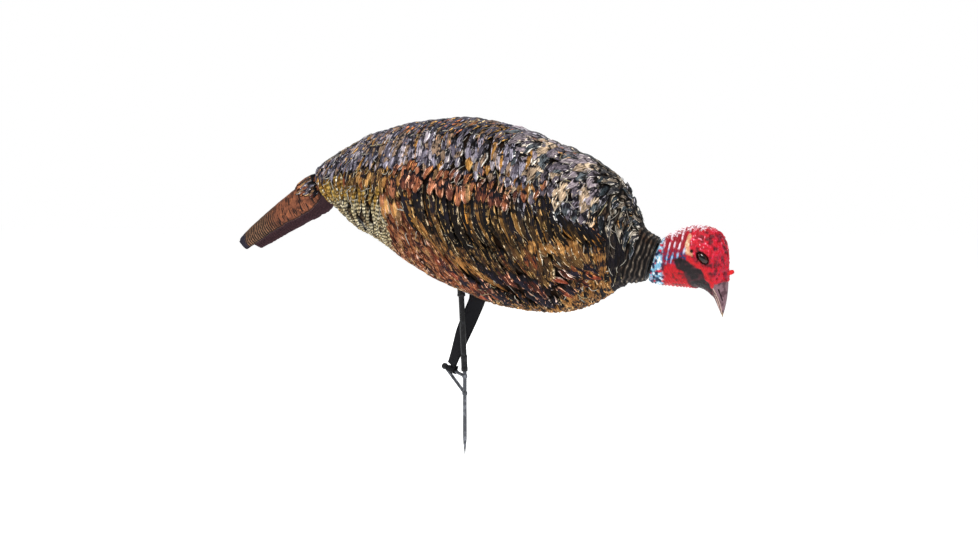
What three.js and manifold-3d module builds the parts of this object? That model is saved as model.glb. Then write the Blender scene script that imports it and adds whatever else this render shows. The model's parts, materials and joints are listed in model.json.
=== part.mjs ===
// Feeding turkey decoy on a two-part ground stake.
// Millimetres, +Z up, +X towards the head. The origin is on the stake at ground level.

import * as THREE from 'three';
import { mergeVertices } from 'three/addons/utils/BufferGeometryUtils.js';
import Module from 'manifold-3d';

const wasm = await Module();
wasm.setup();

// ---- driving dimensions ----

const GAP = 0.3;
const SHELL_WALL = 2.6;
const HEAD_WALL = 3.0;

// Ribs of the hollow body, rear to front: [top x, top z, bottom x, bottom z, half width].
const BODY_RIBS = [
  [-250, 343, -222, 279, 50],
  [-225, 360, -207, 267, 62],
  [-190, 381, -179, 241, 78],
  [-150, 400, -145, 225, 92],
  [-100, 411, -100, 193, 104],
  [-45, 420, -50, 164, 112],
  [14, 423, 14, 136, 116],
  [68, 413, 68, 121, 117],
  [121, 394, 121, 113, 114],
  [170, 375, 165, 112, 107],
  [212, 354, 200, 120, 96],
  [245, 337, 230, 135, 80],
  [264, 321, 250, 149, 68],
  [277, 300, 264, 155, 58],
  [285, 272, 276, 156, 50],
  [294, 249, 287, 158, 44],
  [309, 237, 295, 160, 39],
];
const BODY_STEPS = 24;
const BODY_SIDES = 28;
const BACK_NARROWING = 0.1;

// Neck joint: its centre, its downward tilt and the radius where head and body meet.
const NECK_CENTRE = new THREE.Vector3(313.5, 0, 196);
const NECK_TILT = 18;
const NECK_RADIUS = 36.5;
const NECK_SIDES = 32;
const NECK_RING = { from: -20, to: -3, bore: 24 };
const SPIGOT = { from: -34, to: 9, radius: 23.5, bore: 19.5, flange: 5 };
const NECK_CLIP = { from: -25, to: -21, inner: 23.9, outer: 29 };

// Ribs of the head and beak, from the neck joint to just short of the beak's tip.
const HEAD_RIBS = [
  [343, 240, 326, 156, 37],
  [367, 249, 352, 153, 36],
  [391, 250, 372, 152, 34],
  [410, 244, 386, 150, 31],
  [422, 231, 395, 145, 27],
  [427, 212, 400, 140, 22],
  [428, 192, 404, 136, 17],
  [429, 172, 407, 130, 13],
  [428.5, 150, 410, 123, 9.5],
  [425.5, 127, 414, 114, 6],
];
const BEAK_TIP = [420.5, 108, 418.5, 105.5, 2.5];
const HEAD_STEPS = 18;
const HEAD_SIDES = 20;
const HOLLOW_RIBS = 5;
const BALL = { around: 16, up: 10 };
const EYE = { x: 391, y: 27, z: 200, radius: 9 };
const SNOOD = { x: 419, z: 174, length: 19, radius: 4.6, rise: 14, rings: 4 };

// Upper pole, its bearings in the body and its lean.
const POLE_LEAN = 2.5;
const POLE = { from: 22.3, to: 380, radius: 4.7, bore: 3.55 };
const POLE_TIP = { from: 368, to: 384, radius: 3.25, head: 4.7 };
const FERRULE = { from: 9, to: 36, shoulder: 22, radius: 5.4, bore: 3.55 };
const BUSHING = { from: 133, to: 164, radius: 6.1, bore: 5.0 };
const SOCKET = { from: 165, to: 386, radius: 7.2, bore: 5.6 };
const THRUST_CAP = { from: 386.3, to: 392, radius: 7.2 };
const BOSS_RADIUS = 9.5;
const LOWER_BOSS = { from: 120, to: 178 };
const UPPER_BOSS = { from: 372, to: 430 };

// Ground stake and its foot step.
const STAKE = { tip: -130, point: 26, top: 70, radius: 3.25 };
const STEP_OUTER = new THREE.Vector3(-46, 40, 12);
const STEP_UPPER = new THREE.Vector3(0, 0, 1);
const STEP_LOWER = new THREE.Vector3(0, 0, -27);
const STEP_ROD_RADIUS = 2.9;
const STEP_CAP_RADIUS = 5.6;

// Webbing strap from the belly to the foot step.
const STRAP = { width: 27, thickness: 1.8, steps: 14 };
const STRAP_ANCHOR = new THREE.Vector3(18, 14, 146);
const STRAP_TOP_TURN = 15;
const STRAP_FOOT_SHARE = 0.66;
const STRAP_FOOT_RISE = 7;
const STRAP_SLOT = { width: 30, depth: 5, height: 60 };
const KEEPER = { length: 35, radius: 2.5, slope: 21 };

// Folded tail in its own frame: it slides out along -X, which points down and to the rear.
const TAIL_ROOT_CENTRE = new THREE.Vector3(-236, 0, 311);
const TAIL_SLOPE = 33;
const TAIL = { inside: 18, tip: -183, corner: 12, spread: 75, thickness: 6 };
// Sections of the tail: [x, ridge z, edge z, half width].
const TAIL_SECTIONS = [
  [18, 26.5, -4, 37],
  [-8, 28.5, -12, 41],
  [-21, 32, -30, 48],
  [-50, 30, -26, 50],
  [-85, 27.5, -22, 50],
  [-120, 24, -19, 45],
  [-155, 20, -17.5, 37],
  [-190, 13, -15, 26],
];
const TAIL_STEPS = { along: 11, across: 10 };
const TAIL_ROOT = { from: -40, to: 74, width: 36, height: 16, z: 6 };
const TAIL_BULKHEAD = { from: 30, to: 36 };
const TAIL_SLEEVE = { to: 62, wall: 3 };
const TAIL_RIVETS = [-12, -32];
const RIVET_RADIUS = 2.5;

// Wing panels on the flanks, as a stretch of the body's surface.
const WING = { rear: 0.13, front: 0.645, upper: 27, lower: -54, lift: 2.6, thickness: 3.4, edge: 1.6 };
const WING_STEPS = { along: 14, across: 6 };
const WING_PEGS = [0.3, 0.74];
const PEG = { radius: 4, length: 16, flange: 7, clear: 2.2 };

// ---- colours ----

const COLOURS = {
  body: 0x4a3a34,
  wing: 0x6a4a33,
  tail: 0x6d3d28,
  head: 0xc01f2e,
  snood: 0xd0202c,
  eye: 0x1a0f0c,
  plastic: 0x2a2a2c,
  steel: 0x3a3b3e,
  stake: 0x55565a,
  webbing: 0x1d1d1f,
};

function finish(colour, roughness, metalness = 0) {
  return new THREE.MeshStandardMaterial({ color: COLOURS[colour], roughness, metalness });
}

function node(name, geometry, material) {
  const mesh = new THREE.Mesh(geometry, material);
  mesh.name = name;
  return mesh;
}

// ---- solids and booleans ----

function solid(geometry) {
  const bare = geometry.index ? geometry.toNonIndexed() : geometry.clone();
  bare.deleteAttribute('normal');
  bare.deleteAttribute('uv');
  const merged = mergeVertices(bare, 1e-4);
  const vertProperties = Float32Array.from(merged.attributes.position.array);
  const triVerts = Uint32Array.from(merged.index.array);
  return new wasm.Manifold(new wasm.Mesh({ numProp: 3, vertProperties, triVerts }));
}

function surface(manifold) {
  const mesh = manifold.getMesh();
  const geometry = new THREE.BufferGeometry();
  geometry.setAttribute('position', new THREE.BufferAttribute(Float32Array.from(mesh.vertProperties), 3));
  geometry.setIndex(new THREE.BufferAttribute(Uint32Array.from(mesh.triVerts), 1));
  geometry.computeVertexNormals();
  return geometry;
}

// A round bar along local Z, placed by a frame matrix.
function bar(radius, from, to, frame = new THREE.Matrix4(), sides = 24) {
  const geometry = new THREE.CylinderGeometry(radius, radius, to - from, sides);
  geometry.rotateX(Math.PI / 2);
  geometry.translate(0, 0, (from + to) / 2);
  geometry.applyMatrix4(frame);
  return solid(geometry);
}

function block(width, depth, height, frame = new THREE.Matrix4()) {
  return solid(new THREE.BoxGeometry(width, depth, height).applyMatrix4(frame));
}

// A round bar between two points.
function rod(radius, start, end, sides = 14) {
  const along = end.clone().sub(start);
  const turn = new THREE.Quaternion().setFromUnitVectors(new THREE.Vector3(0, 0, 1), along.clone().normalize());
  const frame = new THREE.Matrix4().compose(start, turn, new THREE.Vector3(1, 1, 1));
  return bar(radius, 0, along.length(), frame, sides);
}

// A tube turned about local Z, with the given outer and inner radii.
function tube(radius, bore, from, to, sides = 24) {
  const profile = [
    new THREE.Vector2(bore, from),
    new THREE.Vector2(radius, from),
    new THREE.Vector2(radius, to),
    new THREE.Vector2(bore, to),
    new THREE.Vector2(bore, from),
  ];
  return turned(profile, sides);
}

function turned(profile, sides = 24) {
  const geometry = new THREE.LatheGeometry(profile, sides);
  geometry.rotateX(Math.PI / 2);
  return geometry;
}

// ---- frames ----

function frameAt(centre, degreesAboutY) {
  const turn = new THREE.Matrix4().makeRotationY(THREE.MathUtils.degToRad(degreesAboutY));
  return turn.setPosition(centre);
}

const POLE_FRAME = frameAt(new THREE.Vector3(0, 0, 0), -POLE_LEAN);
// Local Z of the neck frame runs along the neck, towards the head.
const NECK_FRAME = frameAt(NECK_CENTRE, 90 + NECK_TILT);
const TAIL_FRAME = frameAt(TAIL_ROOT_CENTRE, -TAIL_SLOPE);

function groupAt(frame, ...children) {
  const group = new THREE.Group();
  frame.decompose(group.position, group.quaternion, group.scale);
  group.add(...children);
  return group;
}

// ---- lofting through ribs ----

// A neck rib square to the neck axis, a distance along it.
function neckRib(offset, radius) {
  const top = new THREE.Vector3(-radius, 0, offset).applyMatrix4(NECK_FRAME);
  const bottom = new THREE.Vector3(radius, 0, offset).applyMatrix4(NECK_FRAME);
  return top.z > bottom.z
    ? [top.x, top.z, bottom.x, bottom.z, radius]
    : [bottom.x, bottom.z, top.x, top.z, radius];
}

function curves(ribs) {
  const top = new THREE.CatmullRomCurve3(ribs.map((r) => new THREE.Vector3(r[0], 0, r[1])));
  const bottom = new THREE.CatmullRomCurve3(ribs.map((r) => new THREE.Vector3(r[2], 0, r[3])));
  const half = new THREE.CatmullRomCurve3(ribs.map((r, i) => new THREE.Vector3(i, r[4], 0)));
  return { top, bottom, half };
}

// The point at share t along the ribs and an angle from straight up, positive towards -Y.
function ribPoint({ top, bottom, half }, t, angle, narrowing, reach = 1) {
  const high = top.getPoint(t);
  const low = bottom.getPoint(t);
  const middle = high.clone().add(low).multiplyScalar(0.5);
  const spine = high.clone().sub(middle);
  const up = Math.cos(angle);
  const width = half.getPoint(t).y * (1 - narrowing * Math.max(0, up) ** 2);
  const point = middle.addScaledVector(spine, up * reach);
  point.y = -width * Math.sin(angle) * reach;
  return point;
}

// A closed solid through the ribs, made by bending a plain cylinder onto them.
function loft(ribs, steps, sides, narrowing = 0) {
  const geometry = new THREE.CylinderGeometry(1, 1, 1, sides, steps);
  const position = geometry.attributes.position;
  const shape = curves(ribs);
  for (let i = 0; i < position.count; i += 1) {
    const t = THREE.MathUtils.clamp(0.5 - position.getY(i), 0, 1);
    const across = position.getX(i);
    const upward = position.getZ(i);
    const angle = Math.atan2(-across, upward);
    const point = ribPoint(shape, t, angle, narrowing, Math.hypot(across, upward));
    position.setXYZ(i, point.x, point.y, point.z);
  }
  return solid(geometry);
}

// The same ribs pulled in by a wall thickness.
function shrunk(ribs, wall) {
  return ribs.map(([topX, topZ, bottomX, bottomZ, half]) => {
    const height = Math.hypot(topX - bottomX, topZ - bottomZ);
    const share = wall / height;
    return [
      topX + (bottomX - topX) * share,
      topZ + (bottomZ - topZ) * share,
      bottomX + (topX - bottomX) * share,
      bottomZ + (topZ - bottomZ) * share,
      half - wall,
    ];
  });
}

// Carries the first or last rib outwards, so that a hollow cut runs past the open end.
function carried(ribs, fromEnd, distance) {
  const [near, next] = fromEnd ? [ribs.at(-1), ribs.at(-2)] : [ribs[0], ribs[1]];
  const stepX = (near[0] + near[2] - next[0] - next[2]) / 2;
  const stepZ = (near[1] + near[3] - next[1] - next[3]) / 2;
  const share = distance / Math.hypot(stepX, stepZ);
  const extra = [
    near[0] + stepX * share,
    near[1] + stepZ * share,
    near[2] + stepX * share,
    near[3] + stepZ * share,
    near[4],
  ];
  return fromEnd ? [...ribs, extra] : [extra, ...ribs];
}

// ---- body ----

const bodyRibs = [...BODY_RIBS, neckRib(0, NECK_RADIUS)];
const bodyCurves = curves(bodyRibs);

function bodyInside(wall) {
  const ribs = carried(carried(shrunk(bodyRibs, wall), false, 12), true, 12);
  return loft(ribs, BODY_STEPS + 4, BODY_SIDES, BACK_NARROWING);
}

const strapFrame = new THREE.Matrix4()
  .makeRotationZ(THREE.MathUtils.degToRad(STRAP_TOP_TURN))
  .setPosition(STRAP_ANCHOR.x, STRAP_ANCHOR.y, STRAP_ANCHOR.z);

function pegFrame(share, side) {
  const t = THREE.MathUtils.lerp(WING.rear, WING.front, share);
  const point = ribPoint(bodyCurves, t, Math.PI / 2, BACK_NARROWING);
  const turn = new THREE.Matrix4().makeRotationX((side * Math.PI) / 2);
  return turn.setPosition(point.x, -side * Math.abs(point.y), point.z);
}

function bodyShell() {
  const outer = loft(bodyRibs, BODY_STEPS, BODY_SIDES, BACK_NARROWING);
  const lowerBoss = bar(BOSS_RADIUS, LOWER_BOSS.from, LOWER_BOSS.to, POLE_FRAME).intersect(outer);
  const upperBoss = bar(BOSS_RADIUS, UPPER_BOSS.from, UPPER_BOSS.to, POLE_FRAME).intersect(outer);
  let shell = outer.subtract(bodyInside(SHELL_WALL)).add(lowerBoss).add(upperBoss);
  shell = shell.subtract(bar(BUSHING.radius + GAP, LOWER_BOSS.from - 20, SOCKET.from, POLE_FRAME));
  shell = shell.subtract(bar(SOCKET.radius + GAP, SOCKET.from - GAP, THRUST_CAP.to + GAP, POLE_FRAME));
  shell = shell.subtract(block(STRAP_SLOT.width, STRAP_SLOT.depth, STRAP_SLOT.height, strapFrame));
  for (const side of [1, -1]) {
    for (const share of WING_PEGS) {
      shell = shell.subtract(bar(PEG.radius + GAP, -PEG.length, PEG.length, pegFrame(share, side), 14));
    }
  }
  return node('body_shell', surface(shell), finish('body', 0.85));
}

// A panel that follows the body's flank, thickest along its middle.
function wingPanel(name, side) {
  const geometry = new THREE.BoxGeometry(1, 1, 1, WING_STEPS.along, WING_STEPS.across, 1);
  const position = geometry.attributes.position;
  const middle = (WING.upper + WING.lower) / 2;
  for (let i = 0; i < position.count; i += 1) {
    const along = position.getX(i) + 0.5;
    const across = position.getY(i) * 2;
    const outward = position.getZ(i) + 0.5;
    const taper = Math.sqrt(Math.max(0, 1 - Math.abs(2 * along - 1) ** 3.2)) * 0.82 + 0.18;
    const t = THREE.MathUtils.lerp(WING.rear, WING.front, along);
    const degrees = 90 - (middle + (across * taper * (WING.upper - WING.lower)) / 2);
    const angle = THREE.MathUtils.degToRad(degrees);
    const point = ribPoint(bodyCurves, t, angle, BACK_NARROWING);
    const ahead = ribPoint(bodyCurves, t + 0.01, angle, BACK_NARROWING).sub(point);
    const around = ribPoint(bodyCurves, t, angle + 0.05, BACK_NARROWING).sub(point);
    const normal = around.cross(ahead).normalize();
    const crown = (1 - across ** 2) * (1 - (2 * along - 1) ** 4);
    point.addScaledVector(normal, WING.lift + outward * (WING.edge + crown * (WING.thickness - WING.edge)));
    position.setXYZ(i, point.x, point.y * side, point.z);
  }
  const panel = side > 0 ? geometry : flipped(geometry);
  return node(name, surface(solid(panel)), finish('wing', 0.85));
}

function flipped(geometry) {
  const turned = geometry.toNonIndexed();
  const position = turned.attributes.position;
  for (let i = 0; i < position.count; i += 3) {
    const [x, y, z] = [position.getX(i), position.getY(i), position.getZ(i)];
    position.setXYZ(i, position.getX(i + 1), position.getY(i + 1), position.getZ(i + 1));
    position.setXYZ(i + 1, x, y, z);
  }
  return turned;
}

// A snap peg that holds a wing panel on: a flange inside the wall and a shank through it.
function wingPeg(name, share, side) {
  const top = WING.lift - PEG.clear;
  const profile = [
    new THREE.Vector2(0, -PEG.length + 4),
    new THREE.Vector2(PEG.flange, -PEG.length + 4),
    new THREE.Vector2(PEG.flange, -PEG.length + 7),
    new THREE.Vector2(PEG.radius, -PEG.length + 9),
    new THREE.Vector2(PEG.radius, top),
    new THREE.Vector2(0, top),
  ];
  const peg = node(name, turned(profile, 14), finish('plastic', 0.6));
  return groupAt(pegFrame(share, side), peg);
}

// ---- neck and head ----

function neckRing() {
  const slab = bar(60, NECK_RING.from, NECK_RING.to, NECK_FRAME, NECK_SIDES);
  const bore = bar(NECK_RING.bore, NECK_RING.from - 5, NECK_RING.to + 5, NECK_FRAME, NECK_SIDES);
  const ring = bodyInside(SHELL_WALL + GAP).intersect(slab).subtract(bore);
  return node('neck_ring', surface(ring), finish('plastic', 0.6));
}

function headOuter() {
  const ribs = [neckRib(1, NECK_RADIUS), ...HEAD_RIBS, BEAK_TIP];
  return loft(ribs, HEAD_STEPS, HEAD_SIDES);
}

function headInside(wall) {
  const ribs = shrunk([neckRib(1, NECK_RADIUS), ...HEAD_RIBS.slice(0, HOLLOW_RIBS)], wall);
  return loft(carried(ribs, false, 8), HEAD_STEPS, HEAD_SIDES);
}

const snoodFrame = frameAt(new THREE.Vector3(SNOOD.x, 0, SNOOD.z), 90 - SNOOD.rise);

function eyeFrame(side) {
  return new THREE.Matrix4().makeTranslation(EYE.x, -side * EYE.y, EYE.z);
}

function head() {
  let shell = headOuter().subtract(headInside(HEAD_WALL));
  for (const side of [1, -1]) {
    const pocket = new THREE.SphereGeometry(EYE.radius + GAP, BALL.around, BALL.up).applyMatrix4(eyeFrame(side));
    shell = shell.subtract(solid(pocket));
  }
  shell = shell.subtract(bar(SNOOD.radius + GAP, -GAP, SNOOD.length * 2, snoodFrame, 16));
  return node('head', surface(shell), finish('head', 0.5));
}

function eye(name, side) {
  const ball = node(name, new THREE.SphereGeometry(EYE.radius, BALL.around, BALL.up), finish('eye', 0.1));
  return groupAt(eyeFrame(side), ball);
}

function snood() {
  const tipFrom = SNOOD.length - SNOOD.radius;
  const profile = [new THREE.Vector2(0, 0), new THREE.Vector2(SNOOD.radius, 0)];
  for (let step = 0; step <= SNOOD.rings; step += 1) {
    const angle = (step / SNOOD.rings) * (Math.PI / 2);
    const radius = step === SNOOD.rings ? 0 : SNOOD.radius * Math.cos(angle);
    profile.push(new THREE.Vector2(radius, tipFrom + SNOOD.radius * Math.sin(angle)));
  }
  const finger = node('snood', turned(profile, 16), finish('snood', 0.5));
  return groupAt(snoodFrame, finger);
}

// The head's plug: a flange inside the head and a tube that turns in the neck ring.
function neckSpigot() {
  const flange = bar(60, 3, 3 + SPIGOT.flange, NECK_FRAME, NECK_SIDES).intersect(headInside(HEAD_WALL + GAP));
  const shank = bar(SPIGOT.radius, SPIGOT.from, SPIGOT.to, NECK_FRAME, NECK_SIDES);
  const bore = bar(SPIGOT.bore, SPIGOT.from - 5, SPIGOT.to + 5, NECK_FRAME, NECK_SIDES);
  const spigot = flange.add(shank).subtract(bore);
  return node('neck_spigot', surface(spigot), finish('plastic', 0.6));
}

function neckClip() {
  const ring = tube(NECK_CLIP.outer, NECK_CLIP.inner, NECK_CLIP.from, NECK_CLIP.to, NECK_SIDES);
  return groupAt(NECK_FRAME, node('neck_clip', ring, finish('plastic', 0.6)));
}

// ---- tail ----

function tailSection(x) {
  const last = TAIL_SECTIONS.length - 2;
  const found = TAIL_SECTIONS.findIndex((section, i) => i > 0 && x >= section[0]) - 1;
  const index = found < 0 ? last : Math.min(found, last);
  const [a, b] = [TAIL_SECTIONS[index], TAIL_SECTIONS[index + 1]];
  const share = THREE.MathUtils.clamp((x - a[0]) / (b[0] - a[0]), 0, 1);
  return [1, 2, 3].map((column) => THREE.MathUtils.lerp(a[column], b[column], share));
}

// The folded tail: an arched sheet of stacked feathers with a rounded tip.
function tailFan() {
  const geometry = new THREE.BoxGeometry(1, 1, 1, TAIL_STEPS.along, TAIL_STEPS.across, 1);
  const position = geometry.attributes.position;
  const spread = THREE.MathUtils.degToRad(TAIL.spread);
  for (let i = 0; i < position.count; i += 1) {
    const along = 0.5 - position.getX(i);
    const across = position.getY(i) * 2;
    const inner = 0.5 - position.getZ(i);
    const end = TAIL.tip + TAIL.corner * Math.abs(across) ** 2.4;
    const x = THREE.MathUtils.lerp(TAIL.inside, end, along);
    const [ridge, edge, half] = tailSection(x);
    const thin = TAIL.thickness * (1 - 0.5 * along) * inner;
    const angle = across * spread;
    const drop = (1 - Math.cos(angle)) / (1 - Math.cos(spread));
    const y = ((half - thin) * Math.sin(angle)) / Math.sin(spread);
    const z = THREE.MathUtils.lerp(ridge - thin, edge, drop);
    position.setXYZ(i, x, y, z);
  }
  let fan = solid(geometry);
  for (const x of TAIL_RIVETS) {
    fan = fan.subtract(bar(RIVET_RADIUS + GAP, 0, 60, new THREE.Matrix4().makeTranslation(x, 0, 0), 16));
  }
  return node('tail', surface(fan), finish('tail', 0.85));
}

function tailRoot() {
  const length = TAIL_ROOT.to - TAIL_ROOT.from;
  const place = new THREE.Matrix4().makeTranslation(TAIL_ROOT.from + length / 2, 0, TAIL_ROOT.z);
  let root = block(length, TAIL_ROOT.width, TAIL_ROOT.height, place);
  for (const x of TAIL_RIVETS) {
    root = root.subtract(bar(RIVET_RADIUS + GAP, 0, 60, new THREE.Matrix4().makeTranslation(x, 0, 0), 16));
  }
  return node('tail_root', surface(root), finish('plastic', 0.6));
}

function tailRivet(name, x) {
  const top = tailSection(x)[0] - 1;
  const profile = [
    new THREE.Vector2(0, GAP),
    new THREE.Vector2(RIVET_RADIUS, GAP),
    new THREE.Vector2(RIVET_RADIUS, top),
    new THREE.Vector2(0, top),
  ];
  const rivet = node(name, turned(profile, 16), finish('plastic', 0.6));
  rivet.position.x = x;
  return rivet;
}

// The bulkhead and sleeve inside the body that the tail's root slides in.
function tailSocket() {
  const plate = new THREE.Matrix4()
    .copy(TAIL_FRAME)
    .multiply(new THREE.Matrix4().makeTranslation((TAIL_BULKHEAD.from + TAIL_BULKHEAD.to) / 2, 0, 0));
  const bulkhead = block(TAIL_BULKHEAD.to - TAIL_BULKHEAD.from, 400, 400, plate);
  const sleeveLength = TAIL_SLEEVE.to - TAIL_BULKHEAD.from;
  const sleevePlace = new THREE.Matrix4()
    .copy(TAIL_FRAME)
    .multiply(new THREE.Matrix4().makeTranslation(TAIL_BULKHEAD.from + sleeveLength / 2, 0, TAIL_ROOT.z));
  const outerWidth = TAIL_ROOT.width + 2 * (GAP + TAIL_SLEEVE.wall);
  const outerHeight = TAIL_ROOT.height + 2 * (GAP + TAIL_SLEEVE.wall);
  const sleeve = block(sleeveLength, outerWidth, outerHeight, sleevePlace);
  const opening = block(sleeveLength * 3, TAIL_ROOT.width + 2 * GAP, TAIL_ROOT.height + 2 * GAP, sleevePlace);
  const socket = bodyInside(SHELL_WALL + GAP).intersect(bulkhead).add(sleeve).subtract(opening);
  return node('tail_socket', surface(socket), finish('plastic', 0.6));
}

// ---- stake, pole and bearings ----

function groundStake() {
  const profile = [
    new THREE.Vector2(0, STAKE.tip),
    new THREE.Vector2(STAKE.radius, STAKE.tip + STAKE.point),
    new THREE.Vector2(STAKE.radius, 8),
    new THREE.Vector2(0, 8),
  ];
  // The stretch above ground follows the pole's lean.
  const buried = solid(turned(profile, 24));
  const spigot = bar(STAKE.radius, 2, STAKE.top, POLE_FRAME, 24);
  return node('ground_stake', surface(buried.add(spigot)), finish('stake', 0.45, 0.8));
}

function ferrule() {
  const profile = [
    new THREE.Vector2(FERRULE.bore, FERRULE.from),
    new THREE.Vector2(FERRULE.radius, FERRULE.from),
    new THREE.Vector2(FERRULE.radius, FERRULE.to),
    new THREE.Vector2(POLE.radius + GAP, FERRULE.to),
    new THREE.Vector2(POLE.radius + GAP, FERRULE.shoulder),
    new THREE.Vector2(FERRULE.bore, FERRULE.shoulder),
    new THREE.Vector2(FERRULE.bore, FERRULE.from),
  ];
  return node('ferrule', turned(profile), finish('steel', 0.4, 0.8));
}

function poleTip() {
  const neckTop = POLE.to + GAP;
  const profile = [
    new THREE.Vector2(0, POLE_TIP.from),
    new THREE.Vector2(POLE_TIP.radius, POLE_TIP.from),
    new THREE.Vector2(POLE_TIP.radius, neckTop),
    new THREE.Vector2(POLE_TIP.head, neckTop),
    new THREE.Vector2(POLE_TIP.head, POLE_TIP.to - 2),
    new THREE.Vector2(POLE_TIP.head - 2, POLE_TIP.to),
    new THREE.Vector2(0, POLE_TIP.to),
  ];
  return node('pole_tip', turned(profile), finish('plastic', 0.6));
}

function pole() {
  return node('upper_pole', tube(POLE.radius, POLE.bore, POLE.from, POLE.to), finish('steel', 0.4, 0.8));
}

function poleSocket() {
  const sleeve = tube(SOCKET.radius, SOCKET.bore, SOCKET.from, SOCKET.to);
  return node('pole_socket', sleeve, finish('plastic', 0.6));
}

function bellyBushing() {
  const sleeve = tube(BUSHING.radius, BUSHING.bore, BUSHING.from, BUSHING.to);
  return node('belly_bushing', sleeve, finish('plastic', 0.5));
}

function thrustCap() {
  const profile = [
    new THREE.Vector2(0, THRUST_CAP.from),
    new THREE.Vector2(THRUST_CAP.radius, THRUST_CAP.from),
    new THREE.Vector2(THRUST_CAP.radius, THRUST_CAP.to),
    new THREE.Vector2(0, THRUST_CAP.to),
  ];
  return node('thrust_cap', turned(profile), finish('plastic', 0.6));
}

function footStepRod(start) {
  const inward = STEP_OUTER.clone().sub(start).normalize();
  const end = STEP_OUTER.clone().addScaledVector(inward, -STEP_ROD_RADIUS);
  let piece = rod(STEP_ROD_RADIUS, start, end);
  piece = piece.subtract(bar(STAKE.radius + GAP, -60, 20, new THREE.Matrix4(), 24));
  return piece;
}

function footSteps() {
  const upper = footStepRod(STEP_UPPER);
  const clear = rod(STEP_ROD_RADIUS + GAP, STEP_UPPER, STEP_OUTER.clone().multiplyScalar(1.2));
  const lower = footStepRod(STEP_LOWER).subtract(clear);
  const cap = new THREE.SphereGeometry(STEP_CAP_RADIUS, BALL.around, BALL.up).translate(...STEP_OUTER.toArray());
  let knob = solid(cap).subtract(rod(STEP_ROD_RADIUS + GAP, STEP_UPPER, STEP_OUTER));
  knob = knob.subtract(rod(STEP_ROD_RADIUS + GAP, STEP_LOWER, STEP_OUTER));
  return [
    node('foot_step_bar', surface(upper), finish('stake', 0.45, 0.8)),
    node('foot_step_brace', surface(lower), finish('stake', 0.45, 0.8)),
    node('foot_step_cap', surface(knob), finish('plastic', 0.6)),
  ];
}

// ---- strap ----

// The webbing, twisting from the slot in the belly to lie along the foot step.
function strap() {
  const foot = STEP_OUTER.clone().sub(STEP_UPPER).multiplyScalar(STRAP_FOOT_SHARE).add(STEP_UPPER);
  foot.z += STRAP_FOOT_RISE;
  const start = STRAP_ANCHOR.clone().setZ(STRAP_ANCHOR.z - KEEPER.radius - 6);
  const route = new THREE.CatmullRomCurve3([
    start,
    start.clone().add(new THREE.Vector3(-0.5, 0.2, -12)),
    start.clone().lerp(foot, 0.55),
    foot,
  ]);
  const stepTurn = THREE.MathUtils.radToDeg(Math.atan2(-STEP_OUTER.y, -STEP_OUTER.x));
  const geometry = new THREE.BoxGeometry(1, 1, 1, 4, 1, STRAP.steps);
  const position = geometry.attributes.position;
  for (let i = 0; i < position.count; i += 1) {
    const t = 0.5 - position.getZ(i);
    const twist = THREE.MathUtils.smoothstep(t, 0.15, 1);
    const turn = THREE.MathUtils.degToRad(THREE.MathUtils.lerp(STRAP_TOP_TURN, stepTurn, twist));
    const across = new THREE.Vector3(Math.cos(turn), Math.sin(turn), 0);
    const tangent = route.getTangent(t);
    across.addScaledVector(tangent, -across.dot(tangent)).normalize();
    const flat = tangent.clone().cross(across).normalize();
    const point = route.getPoint(t);
    point.addScaledVector(across, position.getX(i) * STRAP.width);
    point.addScaledVector(flat, -position.getY(i) * STRAP.thickness);
    position.setXYZ(i, point.x, point.y, point.z);
  }
  return node('strap', surface(solid(geometry)), finish('webbing', 0.95));
}

function strapKeeper() {
  const frame = new THREE.Matrix4().copy(strapFrame);
  frame.multiply(new THREE.Matrix4().makeRotationY(THREE.MathUtils.degToRad(90 + KEEPER.slope)));
  const rail = bar(KEEPER.radius, -KEEPER.length / 2, KEEPER.length / 2, frame, 16);
  return node('strap_keeper', surface(rail), finish('plastic', 0.6));
}

// ---- assembly ----

const turkeyDecoy = new THREE.Group();

const stakeGroup = new THREE.Group();
stakeGroup.add(groundStake(), ...footSteps());
stakeGroup.add(groupAt(POLE_FRAME, ferrule(), pole(), poleTip()));

const bodyGroup = new THREE.Group();
bodyGroup.add(bodyShell(), wingPanel('right_wing', 1), wingPanel('left_wing', -1));
bodyGroup.add(neckRing(), tailSocket(), strapKeeper(), strap());
bodyGroup.add(groupAt(POLE_FRAME, bellyBushing(), poleSocket(), thrustCap()));
for (const [sideName, side] of [['right', 1], ['left', -1]]) {
  WING_PEGS.forEach((share, i) => {
    const end = i === 0 ? 'rear' : 'front';
    bodyGroup.add(wingPeg(`${sideName}_wing_${end}_peg`, share, side));
  });
}

const headGroup = new THREE.Group();
headGroup.add(head(), eye('right_eye', 1), eye('left_eye', -1), snood(), neckSpigot(), neckClip());

const tailGroup = groupAt(TAIL_FRAME, tailFan(), tailRoot());
TAIL_RIVETS.forEach((x, i) => {
  tailGroup.add(tailRivet(i === 0 ? 'tail_front_rivet' : 'tail_rear_rivet', x));
});

bodyGroup.add(headGroup, tailGroup);
turkeyDecoy.add(stakeGroup, bodyGroup);

export default turkeyDecoy;
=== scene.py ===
"""Feeding turkey decoy: feathered body, painted head, folded tail and a two-part stake."""

import json
import math

import bmesh
import bpy
import numpy as np
from mathutils import Matrix, Vector
from mathutils.bvhtree import BVHTree


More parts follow.
